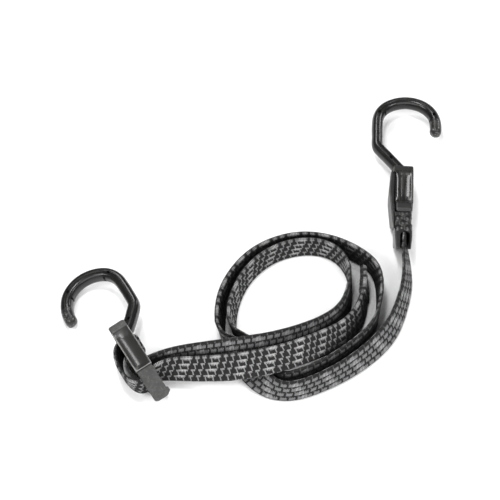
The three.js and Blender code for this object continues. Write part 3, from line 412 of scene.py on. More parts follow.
def webbing_material(name, paint_crevice_shade):
    m, t, b = new_material(name, (0.2, 0.2, 0.21), 0.85, Specular_IOR_Level=0.18)
    uv = t.nodes.new("ShaderNodeUVMap")
    uv.uv_map = "Weave"
    sep = t.nodes.new("ShaderNodeSeparateXYZ")
    t.links.new(uv.outputs[0], sep.inputs[0])
    grain = coords(t, 1000.0)
    wob = noise(t, grain, 0.55, 2.0)
    fine = noise(t, grain, 2.6, 3.0)
    u0 = Sum(t, sep.outputs["X"]) + (wob - 0.5) * 0.10
    v0 = Sum(t, sep.outputs["Y"])
    back = v0.above(8.0)
    y = v0 - back * 10.0 + (fine - 0.5) * 0.05
    r = y.floor()
    q = y - r
    xs = u0 + r * ROW_SHIFT
    a, col = xs.fract(), xs.floor()
    k = col.mod(4.0)
    # ragged thread ends along the float edges
    comb = ((u0 * 5.0).fract() - 0.5).abs() * 2.0
    fray = noise(t, grain, 1.3, 2.0) - 0.5
    first, second = k.below(0.5), k.above(0.5).min(k.below(1.5))
    accent_run = (first * a.rise(0.35, 0.62)).max(second * (1.0 - a.rise(0.22, 0.52)))
    tall = (comb - 0.5) * (accent_run * 0.20 + 0.22) + fray * 0.30 + accent_run * 0.06 + BLOCK_HIGH
    in_band = (1.0 - q.rise(tall - 0.05, tall + 0.05)) * (q + comb * 0.10).rise(0.04, 0.12)
    in_block = (1.0 - (a + fray * 0.2).rise(BLOCK_LEN - 0.05, BLOCK_LEN + 0.05)).max(accent_run)
    low = q.rise(BLOCK_HIGH - 0.12, BLOCK_HIGH - 0.04)
    tick_at = q * (TICK_RUN / (1 - BLOCK_HIGH)) + (TICK_TOP - TICK_RUN * BLOCK_HIGH / (1 - BLOCK_HIGH))
    off_tick = (a - tick_at + fray * 0.08).abs()
    tick = (1.0 - off_tick.rise(TICK_HALF - 0.04, TICK_HALF + 0.04)) * low
    light = (in_band * in_block).max(tick)
    white_a = in_band * accent_run * (fray * 2.2 + 0.75).min(1.0).max(0.0)
    # the other face: pale squares between dark lines, joined by white floats at each accent
    square = off_tick.rise(0.09, 0.17) * q.rise(tall + 0.02, tall + 0.14) * (1.0 - q.rise(0.93, 1.0))
    float_b = second * (1.0 - (a - (tick_at + 0.02)).abs().rise(0.24, 0.42)) * low
    light_b = square.max(float_b).max((1.0 - a.rise(0.10, 0.20)) * in_band * 0.6)
    white_b = float_b * (square * 0.75 + 0.15) * (fray * 2.4 + 0.6).min(1.0).max(0.0)
    L = light + back * (light_b - light)
    Wt = white_a + back * (white_b - white_a)
    ribs = (u0 * (2 * math.pi * 8.0)).sin()
    ribs2 = (y * (2 * math.pi * 9.0)).sin()
    tone = noise(t, grain, 0.12, 2.0)
    dark = ramp(t, fine, [(0.25, (0.007, 0.0069, 0.0067)), (0.75, (0.026, 0.0255, 0.025))])
    dark_b = ramp(t, fine, [(0.25, (0.007, 0.0069, 0.0067)), (0.75, (0.026, 0.0255, 0.025))])
    pale = ramp(t, fine, [(0.2, (0.12, 0.12, 0.122)), (0.8, (0.36, 0.36, 0.363))])
    pale_b = ramp(t, fine, [(0.2, (0.09, 0.09, 0.093)), (0.8, (0.26, 0.26, 0.265))])
    white = ramp(t, fine, [(0.2, (0.24, 0.239, 0.239)), (0.8, (0.60, 0.597, 0.592))])
    c = mix_color(t, L, mix_color(t, back, dark, dark_b), mix_color(t, back, pale, pale_b))
    c = mix_color(t, Wt, c, white)
    weave_tone_and_painted_shade = ribs * 0.10 + ribs2 * 0.05 + (tone - 0.5) * 0.35 + 0.97
    # painted shade: where strands lie near each other the base colour is darkened by ambient occlusion, standing in for
    # the shade between them
    if paint_crevice_shade:
        close = t.nodes.new("ShaderNodeAmbientOcclusion")
        close.samples = 8
        close.inputs["Distance"].default_value = 0.022
        weave_tone_and_painted_shade = weave_tone_and_painted_shade * (Sum(t, close.outputs["AO"]).rise(0.30, 0.76) * 0.94 + 0.06)
    shade = t.nodes.new("ShaderNodeCombineColor")
    for i in range(3):
        t.links.new(weave_tone_and_painted_shade.socket, shade.inputs[i])
    c = mix_color(t, 1.0, c, shade.outputs[0], "MULTIPLY")
    t.links.new(c, b.inputs["Base Color"])
    bump(t, b, ribs * 0.30 + ribs2 * 0.18 + fine * 0.9, 0.00022, 0.8)
    return m


def thread_material():
    m, t, b = new_material("thread", (0.02, 0.02, 0.022), 0.75, Sheen_Weight=0.2)
    g = coords(t, 1000.0)
    f = noise(t, g, 2.2, 3.0)
    t.links.new(ramp(t, f, [(0.3, (0.012, 0.012, 0.013)), (0.7, (0.045, 0.045, 0.048))]), b.inputs["Base Color"])
    bump(t, b, f, 0.0002, 0.7)
    return m


def nylon_material(name, dark, pale, rough, grain, specks=0.0, streaks=0.0, mottle=1.0, speck_scale=0.85, gloss=0.5):
    """Moulded nylon. grain is the strength of the mould's spark texture; specks is the strength of light dots painted
    into the colour as glints of its shiny points; streaks is the strength of lengthwise roughness streaks, which also
    paint lighter streaks into the colour as a smeared reflection.
    """
    m, t, b = new_material(name, pale, rough, Specular_IOR_Level=gloss)
    g = coords(t, 1000.0)
    broad, fine, cloud = noise(t, g, 0.09, 3.0), noise(t, g, 1.9, 3.0, 0.6), noise(t, g, 0.4, 3.0)
    blend = broad * 0.6 + cloud * 0.3 + fine * (0.1 + grain * 0.4)
    c = ramp(t, blend, [(0.35, dark), (0.75, pale)])
    rr = (cloud - 0.5) * (0.12 * mottle) + (fine - 0.5) * 0.2 * grain + rough
    if streaks:
        s = t.nodes.new("ShaderNodeMapping")
        s.inputs["Scale"].default_value = (1.0, 0.06, 1.0)
        t.links.new(g, s.inputs["Vector"])
        streak_and_sheen = noise(t, s.outputs[0], 0.55, 3.0, 0.6)
        rr = rr + (streak_and_sheen - 0.5) * streaks
        # painted reflection: lighter lengthwise streaks in the colour stand in for the panel's smeared reflection; the
        # roughness streaks are the finish
        c = mix_color(t, streak_and_sheen.rise(0.45, 0.75) * 0.8, c, (0.045, 0.0435, 0.042))
    if specks:
        # painted glints: light dots in the colour stand in for glints off the spark texture's shiny points
        dots = t.nodes.new("ShaderNodeTexVoronoi")
        dots.inputs["Scale"].default_value = speck_scale
        t.links.new(g, dots.inputs["Vector"])
        spot = 1.0 - Sum(t, dots.outputs["Distance"]).rise(0.20, 0.42)
        c = mix_color(t, spot * cloud.rise(0.45, 0.60) * specks, c, (0.42, 0.415, 0.41))
    t.links.new(c, b.inputs["Base Color"])
    t.links.new(rr.max(0.08).socket, b.inputs["Roughness"])
    if grain:
        bump(t, b, fine * 0.8 + cloud * 0.2, 0.00016 * grain, 0.5)
    return m


def steel_material():
    m, t, b = new_material("steel", (0.55, 0.55, 0.56), 0.32, Metallic=1.0)
    g = coords(t, 1000.0)
    f = noise(t, g, 0.8, 4.0)
    t.links.new(ramp(t, f, [(0.3, (0.42, 0.42, 0.43)), (0.7, (0.62, 0.62, 0.63))]), b.inputs["Base Color"])
    t.links.new(((f - 0.5) * 0.3 + 0.34).socket, b.inputs["Roughness"])
    return m


# webbing paints crevice shade into its colour; webbing_end is the same weave without it
WEB, WEB_END, THREAD, STEEL = webbing_material("webbing", True), webbing_material("webbing_end", False), thread_material(), steel_material()
HOOK = nylon_material("hook_nylon", (0.006, 0.006, 0.0058), (0.013, 0.0126, 0.0122), 0.24, 0.0, mottle=0.4, gloss=0.33)
TIP = nylon_material("hook_tip", (0.007, 0.0068, 0.0065), (0.017, 0.0165, 0.016), 0.34, 0.8, specks=0.55, gloss=0.35)
PANEL = nylon_material("grip_panel", (0.006, 0.0058, 0.0055), (0.014, 0.0136, 0.013), 0.23, 0.0, streaks=0.12, mottle=0.4)
SCOOP = nylon_material("grip_scoop", (0.018, 0.0176, 0.017), (0.024, 0.0236, 0.0229), 0.28, 0.05, mottle=0.25)
SPARK = nylon_material("spark_texture", (0.015, 0.0147, 0.0142), (0.044, 0.043, 0.042), 0.46, 0.9, specks=0.22, speck_scale=1.7)
# painted highlight: pale nylon for the thin light lines along the adjuster's scoop rims and lip, where the bevels catch
# the light
RIM_HIGHLIGHT = nylon_material("painted_rim_highlight", (0.13, 0.128, 0.124), (0.30, 0.296, 0.29), 0.36, 0.3)
BOOT = nylon_material("boot_nylon", (0.007, 0.0069, 0.0067), (0.013, 0.0126, 0.012), 0.35, 0.0, mottle=0.5, gloss=0.5)


# ------------------------------------------------------------------ mesh helpers
def make_object(name, verts, faces, materials=(), face_materials=None, smooth=True, sharp=None):
    me = bpy.data.meshes.new(name)
    me.from_pydata([tuple(v) for v in verts], [], [tuple(int(i) for i in f) for f in faces])
    for m in materials:
        me.materials.append(m)
    if face_materials is not None:
        me.polygons.foreach_set("material_index", np.asarray(face_materials, np.int32))
    me.polygons.foreach_set("use_smooth", np.full(len(me.polygons), smooth))
    me.validate()
    me.update()
    if sharp is not None:
        me.set_sharp_from_angle(angle=math.radians(sharp))
    o = bpy.data.objects.new(name, me)
    scene.collection.objects.link(o)
    return o


def loft_faces(rings, n):
    i, j = np.meshgrid(np.arange(rings - 1), np.arange(n), indexing="ij")
    j2 = (j + 1) % n
    return np.stack([i * n + j, i * n + j2, (i + 1) * n + j2, (i + 1) * n + j], -1).reshape(-1, 4)


def outward(o):
    bm = bmesh.new()
    bm.from_mesh(o.data)
    bmesh.ops.remove_doubles(bm, verts=bm.verts, dist=1e-7)
    bmesh.ops.recalc_face_normals(bm, faces=bm.faces)
    bm.to_mesh(o.data)
    bm.free()
    o.data.update()
    return o


def loft(name, rings, pose, materials=(), pick=None, sharp=32):
    """Closed solid through rings of (w, u, v) points in a body's own axes, with fan caps."""
    rings = np.asarray(rings, float)
    k, n, _ = rings.shape
    flat = rings.reshape(-1, 3)
    faces = [tuple(f) for f in loft_faces(k, n)]
    verts = np.vstack([flat, rings[0].mean(0), rings[-1].mean(0)])
    for j in range(n):
        j2 = (j + 1) % n
        faces.append((k * n, j2, j))
        faces.append((k * n + 1, (k - 1) * n + j, (k - 1) * n + j2))
    which = None
    if pick is not None:
        which = [pick(verts[list(f)].mean(0)) for f in faces]
    o = make_object(name, local_to_world(pose, verts), faces, materials, which)
    outward(o)
    o.data.set_sharp_from_angle(angle=math.radians(sharp))
    return o


def block(pose, w0, w1, u0, u1, v0, v1, bevel=0.0, name="cutter"):
    pts = [(w, u, v) for v in (v0, v1) for u in (u0, u1) for w in (w0, w1)]
    faces = [(0, 2, 3, 1), (4, 5, 7, 6), (0, 1, 5, 4), (2, 6, 7, 3), (0, 4, 6, 2), (1, 3, 7, 5)]
    o = make_object(name, local_to_world(pose, pts), faces, smooth=False)
    if bevel:
        bm = bmesh.new()
        bm.from_mesh(o.data)
        bmesh.ops.bevel(bm, geom=bm.edges[:], offset=bevel * 0.001, segments=3, affect="EDGES", profile=0.5)
        bm.to_mesh(o.data)
        bm.free()
    return outward(o)


def rod(pose, w, u, r, v0, v1, sides=32, name="rod", fillet=0.0):
    a = np.linspace(0, 2 * np.pi, sides, endpoint=False)
    heights = [(v0, r - fillet), (v0 + fillet, r), (v1 - fillet, r), (v1, r - fillet)] if fillet else [(v0, r), (v1, r)]
    return loft(name, [[(w + rr * math.cos(t), u + rr * math.sin(t), v) for t in a] for v, rr in heights], pose)


def combine(target, others, operation):
    for x in others:
        m = target.modifiers.new("b", "BOOLEAN")
        m.operation, m.solver, m.object = operation, "EXACT", x
        x.data.materials.clear()
        for mat in target.data.materials:
            x.data.materials.append(mat)
    bpy.context.view_layer.update()
    me = bpy.data.meshes.new_from_object(target.evaluated_get(bpy.context.evaluated_depsgraph_get()))
    old = target.data
    target.modifiers.clear()
    target.data = me
    me.name = old.name
    bpy.data.meshes.remove(old)
    for x in others:
        d = x.data
        bpy.data.objects.remove(x)
        bpy.data.meshes.remove(d)
    return target


def drop_slivers(bm):
    """Takes away the few flat double faces that a cut can leave on its seam."""
    seen, stray = set(), []
    for first in bm.faces:
        if first in seen:
            continue
        island, stack = [], [first]
        seen.add(first)
        while stack:
            f = stack.pop()
            island.append(f)
            for e in f.edges:
                if len(e.link_faces) == 2:
                    for g in e.link_faces:
                        if g not in seen:
                            seen.add(g)
                            stack.append(g)
        if len(island) <= 6:
            stray += island
    if stray:
        bmesh.ops.delete(bm, geom=stray, context="FACES")


def finish_mesh(o, sharp=32):
    bm = bmesh.new()
    bm.from_mesh(o.data)
    bmesh.ops.remove_doubles(bm, verts=bm.verts, dist=3e-6)
    bmesh.ops.dissolve_degenerate(bm, dist=3e-6, edges=bm.edges)
    bmesh.ops.triangulate(bm, faces=[f for f in bm.faces if len(f.verts) > 4])
    drop_slivers(bm)
    bm.to_mesh(o.data)
    bm.free()
    o.data.polygons.foreach_set("use_smooth", np.full(len(o.data.polygons), True))
    o.data.set_sharp_from_angle(angle=math.radians(sharp))
    o.data.update()
    return o


def repaint(o, pose, pick):
    """Material by place: pick gets a face's middle and normal in the body's own axes."""
    at, axes = pose
    for p in o.data.polygons:
        c = (np.array(p.center) * 1000 + ORIGIN - at) @ axes.T
        p.material_index = pick(c, axes @ np.array(p.normal))


# ------------------------------------------------------------------ strap
def catmull(points, s, x):
    """Cubic through the rows (non-uniform Catmull-Rom tangents)."""
    d = np.gradient(points, s, axis=0)
    i = np.clip(np.searchsorted(s, x, side="right") - 1, 0, len(s) - 2)
    h = (s[i + 1] - s[i])[:, None]
    t = ((x - s[i]) / (s[i + 1] - s[i]))[:, None]
    return ((2 * t**3 - 3 * t**2 + 1) * points[i] + (t**3 - 2 * t**2 + t) * h * d[i]
            + (-2 * t**3 + 3 * t**2) * points[i + 1] + (t**3 - t**2) * h * d[i + 1])


ROW_S = np.r_[0, np.cumsum(np.linalg.norm(np.diff(ROUTE[:, :3], axis=0), axis=1))]
PITCH_S = np.linspace(0, ROW_S[-1], 4000)
PITCH = np.interp(PITCH_S, [0, 250, 900, 1400], [5.95, 5.95, 5.45, 5.35])
PHASE = np.r_[0, np.cumsum(np.diff(PITCH_S) / (0.5 * (PITCH[1:] + PITCH[:-1])))]


def strap_frame(x):
    c = catmull(ROUTE[:, :3], ROW_S, x)
    e = 0.6
    t = catmull(ROUTE[:, :3], ROW_S, np.clip(x + e, 0, ROW_S[-1])) - catmull(ROUTE[:, :3], ROW_S, np.clip(x - e, 0, ROW_S[-1]))
    t /= np.linalg.norm(t, axis=1)[:, None]
    w = catmull(ROUTE[:, 3:], ROW_S, x)
    w -= (w * t).sum(1)[:, None] * t
    w /= np.linalg.norm(w, axis=1)[:, None]
    return c, t, w, np.cross(t, w)


def relief(u, y):
    """Height of the woven floats in mm: squares stand proud, the bands between them lower."""
    r = np.floor(y)
    q = y - r
    a = (u + ROW_SHIFT * r) % 1.0
    tick = TICK_TOP + TICK_RUN * (q - BLOCK_HIGH) / (1 - BLOCK_HIGH)
    d = (a - tick) % 1.0
    qq = np.clip((q - BLOCK_HIGH) / (1 - BLOCK_HIGH), 0, 1)
    square = np.clip(1 - np.abs(2 * d - 1) ** 5, 0, 1) * np.clip(1 - np.abs(2 * qq - 1) ** 4, 0, 1)
    ql = np.clip(q / BLOCK_HIGH, 0, 1)
    aa = np.clip(a / BLOCK_LEN, 0, 1)
    band = np.clip(1 - np.abs(2 * ql - 1) ** 3, 0, 1) * np.where(a < BLOCK_LEN, np.clip(1 - np.abs(2 * aa - 1) ** 6, 0, 1), 0.1)
    return np.where(q > BLOCK_HIGH, 0.22 * square, 0.17 * band)


HALF = STRAP_WIDTH / 2
_edge = EDGE_ROUND * np.sin(np.radians([90, 66, 44, 22]))
FACE_W = np.r_[HALF - EDGE_ROUND + _edge, np.linspace(HALF - EDGE_ROUND, -HALF + EDGE_ROUND, 31), -(HALF - EDGE_ROUND + _edge)[::-1]]
_over = np.clip((np.abs(FACE_W) - (HALF - EDGE_ROUND)) / EDGE_ROUND, 0, 1)
FACE_N = np.sqrt(np.clip(1 - _over**2, 0, 1))
FACE_Y = np.clip((9.4 - FACE_W) * ROWS_ACROSS / 18.8, 0.02, ROWS_ACROSS - 0.01)


def strap_piece(name, first, last, thick=STRAP_HALF_THICK, step=0.8, rounded_end=False, fade=None):
    s0, s1 = ROW_S[first], ROW_S[last]
    k = max(2, int(round((s1 - s0) / step))) + 1
    x = np.linspace(s0, s1, k)
    c, t, w, n = strap_frame(x)
    phase = np.interp(x, PITCH_S, PHASE)
    nf = len(FACE_W)
    half = np.full(k, thick)
    if rounded_end:
        over = np.clip((x - (s1 - 2.2)) / 2.2, 0, 1)
        half = thick * np.sqrt(np.clip(1 - over**2, 0.04, 1))
    bumps = relief(phase[:, None], FACE_Y[None, :]) * np.clip((HALF - np.abs(FACE_W)) / 1.2, 0, 1)[None, :]
    face = half[:, None] * FACE_N[None, :] + bumps * (half / thick)[:, None]
    a_side = c[:, None] + w[:, None] * FACE_W[None, :, None] + n[:, None] * face[..., None]
    b_side = c[:, None] + w[:, None] * FACE_W[None, ::-1, None] - n[:, None] * face[:, ::-1, None]
    ring = np.concatenate([a_side, b_side[:, 1:-1]], 1)
    m = ring.shape[1]
    verts = ring.reshape(-1, 3)
    quads = loft_faces(k, m)
    caps = []
    centre = [c[0], c[-1]]
    verts = np.vstack([verts, centre])
    for j in range(m):
        j2 = (j + 1) % m
        caps.append((k * m, j2, j))
        caps.append((k * m + 1, (k - 1) * m + j, (k - 1) * m + j2))
    o = make_object(name, place(verts), list(map(tuple, quads)) + caps, [WEB])
    me = o.data
    # coordinates for the weave, and a compact layout of the same faces
    seg = np.arange(m)
    on_a = seg < nf - 1
    ya = FACE_Y[np.minimum(seg, nf - 1)]
    jb = np.where(on_a, 0, 2 * nf - 2 - seg)
    y0 = np.where(on_a, ya, 10 + FACE_Y[np.clip(jb, 0, nf - 1)])
    y1 = np.where(on_a, FACE_Y[np.minimum(seg + 1, nf - 1)], 10 + FACE_Y[np.clip(jb - 1, 0, nf - 1)])
    arc_a = np.r_[0, np.cumsum(np.hypot(np.diff(FACE_W), np.diff(FACE_N * thick)))]
    span = arc_a[-1]
    e0 = np.where(on_a, arc_a[np.minimum(seg, nf - 1)], arc_a[np.clip(2 * nf - 2 - seg, 0, nf - 1)])
    e1 = np.where(on_a, arc_a[np.minimum(seg + 1, nf - 1)], arc_a[np.clip(2 * nf - 3 - seg, 0, nf - 1)])
    length = s1 - s0
    gap = 1.5
    lanes = max(1, int(round(math.sqrt(2 * length / (span + gap)))))
    per = int(math.ceil((k - 1) / (lanes / 2.0))) if lanes > 1 else k - 1
    i = np.repeat(np.arange(k - 1), m)
    j = np.tile(np.arange(m), k - 1)
    weave = np.stack([np.stack([phase[i], y0[j]], -1), np.stack([phase[i], y1[j]], -1),
                      np.stack([phase[i + 1], y1[j]], -1), np.stack([phase[i + 1], y0[j]], -1)], 1)
    lane_a = i // per
    n_lane = int(lane_a.max()) + 1
    lane = np.where(on_a[j], lane_a, n_lane + lane_a)
    ds = length / (k - 1)
    wide, high = (per * ds + gap), 2 * n_lane * (span + gap)
    scale = 1.0 / max(wide, high)
    px0, px1 = (i - lane_a * per) * ds, (i - lane_a * per + 1) * ds
    base = lane * (span + gap)
    compact = np.stack([np.stack([px0, base + e0[j]], -1), np.stack([px0, base + e1[j]], -1),
                        np.stack([px1, base + e1[j]], -1), np.stack([px1, base + e0[j]], -1)], 1) * scale
    for layer, data in (("Weave", weave), ("OFBake", compact)):
        uv = me.uv_layers.new(name=layer)
        full = np.zeros((len(me.loops), 2), np.float32)
        full[: len(quads) * 4] = data.reshape(-1, 2)
        capn = len(caps)
        if layer == "Weave":
            full[len(quads) * 4:] = np.tile([0.3, 0.6], (capn * 3, 1))
        else:
            full[len(quads) * 4:] = np.tile([[0.9990, 0.9990], [0.9996, 0.9990], [0.9993, 0.9996]], (capn, 1))
        uv.data.foreach_set("uv", full.ravel())
    me.uv_layers.active = me.uv_layers["OFBake"]
    return o


def route_path(first, last):
    x = np.linspace(ROW_S[first], ROW_S[last], max(8, int((ROW_S[last] - ROW_S[first]) / 6)))
    return [tuple(p) for p in place(strap_frame(x)[0])]


def route_length(first, last):
    p = np.array(route_path(first, last))
    return float(np.linalg.norm(np.diff(p, axis=0), axis=1).sum())


C = CUT
upper = strap_piece("strap_run_upper_web", C["upper"], C["run"])
upper.data.materials[0] = WEB_END
run = strap_piece("strap_run_web", C["run"], C["outer"])
loops = strap_piece("strap_loops_web", C["outer"], C["lead"])
lead = strap_piece("strap_lead_web", C["lead"], C["lead_adj"])
wrap = strap_piece("strap_adjuster_web", C["lead_adj"], C["tail"], step=0.7)
tail = strap_piece("strap_tail_web", C["tail"], C["hem"])
hem = strap_piece("strap_tail_end_web", C["hem"], len(ROUTE) - 1, thick=2.45, rounded_end=True)
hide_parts("strap_run_upper")
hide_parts("strap_run")
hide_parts("strap_outer_loop", "strap_inner_loop")
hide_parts("strap_lead")
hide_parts("strap_lead_adjuster", "strap_adjuster_wrap", "strap_tail_adjuster")
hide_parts("strap_tail")
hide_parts("strap_tail_end")

route_length(C["run"], C["outer"])
route_path(C["run"], C["outer"])
route_length(C["outer"], C["lead"])
route_path(C["outer"], C["lead"])
route_length(C["lead"], C["lead_adj"])
route_path(C["lead"], C["lead_adj"])
route_length(C["lead_adj"], C["tail"])
route_path(C["lead_adj"], C["tail"])
route_length(C["tail"], C["hem"])
route_path(C["tail"], C["hem"])

# ------------------------------------------------------------------ hooks
def smooth_path(points, step):
    """Centripetal Catmull-Rom through the points, cut into even steps."""
    p = np.array(points, float)
    ext = np.vstack([2 * p[0] - p[1], p, 2 * p[-1] - p[-2]])
    out = []
    for i in range(len(p) - 1):
        p0, p1, p2, p3 = ext[i:i + 4]
        d0, d1, d2 = (max(np.linalg.norm(b - a), 1e-9) ** 0.5 for a, b in ((p0, p1), (p1, p2), (p2, p3)))
        m1 = ((p1 - p0) / d0 - (p2 - p0) / (d0 + d1) + (p2 - p1) / d1) * d1
        m2 = ((p2 - p1) / d1 - (p3 - p1) / (d1 + d2) + (p3 - p2) / d2) * d1
        for t in np.linspace(0, 1, 40, endpoint=False):
            out.append((2 * t**3 - 3 * t**2 + 1) * p1 + (t**3 - 2 * t**2 + t) * m1 + (-2 * t**3 + 3 * t**2) * p2 + (t**3 - t**2) * m2)
    out.append(p[-1])
    out = np.array(out)
    s = np.r_[0, np.cumsum(np.linalg.norm(np.diff(out, axis=0), axis=1))]
    x = np.linspace(0, s[-1], int(round(s[-1] / step)) + 1)
    return np.stack([np.interp(x, s, out[:, 0]), np.interp(x, s, out[:, 1])], 1), x


def hook_section(power=2.2):
    """Lens with a narrow ridge along both sides: (across the path in the hook's plane, across the plane)."""
    th = np.linspace(np.arcsin(0.145 if power < 2.5 else 0.07), np.pi / 2, 15)
    p = 2 / power
    quarter = [(0.0, HOOK_HALF_D), (0.30, HOOK_HALF_D - 0.03), (0.48, HOOK_HALF_D - 0.16), (0.58, HOOK_HALF_D - 0.46)]
    quarter += [(HOOK_HALF_R * math.sin(t) ** p, (HOOK_HALF_D - 0.45) * max(0.0, math.cos(t)) ** p) for t in th]
    right = quarter + [(a, -b) for a, b in quarter[-2::-1]]
    left = [(-a, b) for a, b in right[-2:0:-1]]
    return np.array(right + left)


def hook(name, node, shank, tip, start, side, pose, root, marks, size, power):
    path, s = smooth_path([(x * side, y) for x, y in shank] + [((x + start[0]) * side, y + start[1]) for x, y in CROOK + tip], 0.7)
    sec = hook_section(power)
    d = np.gradient(path, axis=0)
    d /= np.linalg.norm(d, axis=1)[:, None]
    across = np.stack([d[:, 1], -d[:, 0]], 1)
    total = s[-1]
    swell = 1 + 0.05 * np.clip((s / total - 0.87) / 0.05, 0, 1)
    end = np.clip((s - (total - 3.8)) / 3.8, 0, 1)
    k = swell * np.sqrt(np.clip(1 - end**2, 0.03, 1))
    rings = np.zeros((len(s), len(sec), 3))
    rings[..., :2] = path[:, None] + across[:, None] * (sec[None, :, :1] * k[:, None, None])
    rings[..., 2] = sec[None, :, 1] * k[:, None]
    o = loft(name, rings, pose, [HOOK, TIP])
    cutters = []

    def pit(i, off, half, v0, v1):
        c, sn = d[i]
        at = path[i] + across[i] * off
        pts = [(at[0] + c * x - sn * y, at[1] + sn * x + c * y, v) for v in (v0, v1) for y in (-half[1], half[1]) for x in (-half[0], half[0])]
        faces = [(0, 2, 3, 1), (4, 5, 7, 6), (0, 1, 5, 4), (2, 6, 7, 3), (0, 4, 6, 2), (1, 3, 7, 5)]
        cutters.append(outward(make_object("cutter", local_to_world(pose, pts), faces, smooth=False)))

    for n, t in enumerate(marks):
        i = int(round(t * (len(s) - 1)))
        for v0, v1 in ((3.0, 8), (-8, -3.0)):
            pit(i, 0.0, size, v0, v1)
        if n:
            # shallow sink mark on the inner flank beside the hole
            for v0, v1 in ((0.2, 3.6), (-3.6, -0.2)):
                pit(i + 5, side * (HOOK_HALF_R - 0.2), (0.7, 1.2), v0, v1)
    combine(o, cutters, "DIFFERENCE")
    combine(o, root, "UNION")
    finish_mesh(o, 30)
    last = path[int(round(marks[-1] * (len(s) - 1)))]
    end_at = path[-1]
    reach = min(np.hypot(*(last - end_at)) + 0.6, 13.5)
    repaint(o, pose, lambda c, nrm: 1 if np.hypot(*(c[:2] - end_at)) < reach and c[1] > 0 else 0)
    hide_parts(node)
    return o


fixed_hook = hook("fixed_hook_moulding", "fixed_hook", FIXED_SHANK, FIXED_TIP, FIXED_CROOK, 1, FIXED, [block(FIXED, -4.4, 5.0, -13, -2.9, -9.6, 9.6, 0.6)],
                  (0.155, 0.492, 0.878), (1.45, 1.1), 2.2)
adjuster_hook = hook("adjuster_hook_moulding", "adjuster_hook", ADJUSTER_SHANK, ADJUSTER_TIP, (ADJUSTER_CROOK[0], ADJUSTER_CROOK[1] - 0.6), -1, ADJUSTER,
                     [block(ADJUSTER, -5.2, 5.6, -9.4, -2.4, -10.1, 10.1, 0.6), rod(ADJUSTER, 0, -5.9, 2.3, -11.45, 11.45)], (0.108, 0.49, 0.787), (1.2, 1.0), 2.9)
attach(fixed_hook, "fixed_end")
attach(adjuster_hook, "adjuster")


# ------------------------------------------------------------------ moulded bodies
def along(table):
    t = sorted(table)
    us, vs = [a for a, _ in t], [b for _, b in t]
    return lambda u: float(np.interp(u, us, vs))


def section(L, R, H, D, rc, extra=None, n=33, power=2.2, wide=0.94):
    """Ring of (w, v): scooped or raised faces at +v and -v, rounded edges, flat sides."""
    x = np.linspace(-1, 1, n)
    W = (L + R) / 2 + x * ((R - L) / 2 - rc)
    v = H - D * np.clip(1 - (np.abs(x) / wide) ** power, 0, 1)
    if extra is not None:
        v = v + extra(W)
    ang = np.radians([75, 60, 45, 30, 15])
    corner = [(R - rc + rc * math.cos(a), H - rc + rc * math.sin(a)) for a in ang]
    side = [(R, z) for z in np.linspace(H - rc, -(H - rc), 13)]
    half = list(zip(W, v)) + corner + side
    other = [(L + R - w, z) for w, z in corner[::-1]]
    left_side = [(L, z) for z in np.linspace(-(H - rc), H - rc, 13)]
    ring = list(zip(W, v)) + corner + side + [(w, -z) for w, z in corner[::-1]] + [(w, -z) for w, z in zip(W[::-1], v[::-1])]
    ring += [(w, -z) for w, z in other[::-1]] + left_side + other
    return np.array(ring)


def shell(name, pose, us, left, right, high, scoop, corner, materials, extra=None):
    rings = []
    for u in us:
        sec = section(left(u), right(u), high(u), scoop(u), corner(u), None if extra is None else (lambda W, u=u: extra(W, u)))
        ring = np.zeros((len(sec), 3))
        ring[:, 0], ring[:, 1], ring[:, 2] = sec[:, 0], u, sec[:, 1]
        rings.append(ring)
    return loft(name, rings, pose, materials)


def steps(*spans):
    """Stations along a body: (from, to, step) spans joined end to end."""
    out = []
    for a, b, st in spans:
        n = max(1, int(round(abs(b - a) / st)))
        out += list(np.linspace(a, b, n, endpoint=False))
    return out + [spans[-1][1]]


def shank_notch(pose, shank, side, grow):
    path, s = smooth_path([(x * side, y) for x, y in shank], 0.9)
    d = np.gradient(path, axis=0)
    d /= np.linalg.norm(d, axis=1)[:, None]
    across = np.stack([d[:, 1], -d[:, 0]], 1)
    sec = hook_section() * grow
    rings = np.zeros((len(path), len(sec), 3))
    rings[..., :2] = path[:, None] + across[:, None] * sec[None, :, :1]
    rings[..., 2] = sec[None, :, 1]
    return loft("cutter", rings, pose)


# Fixed end: cap, fluted grip panel and collar in one moulding.
def flute(W, u):
    """The panel's trough: steep left flank, broad right flank, a low wedge along its middle."""
    deep = float(np.interp(u, [-34, -33.4, -31.8, -28, -12, -8, -6, -4.4], [0, 0.1, 0.75, 1.25, 1.25, 0.95, 0.35, 0]))
    x = np.clip((W + 6.0) / 11.7, 0, 1)
    shape = np.where(x < 0.42, 1 - np.abs((0.42 - x) / 0.42) ** 4.2, 1 - np.abs((x - 0.42) / 0.58) ** 2.6)
    wedge = np.exp(-(((W + 0.9) / (0.9 + 0.028 * (u + 33))) ** 2)) * 0.16
    return deep * (wedge - shape)


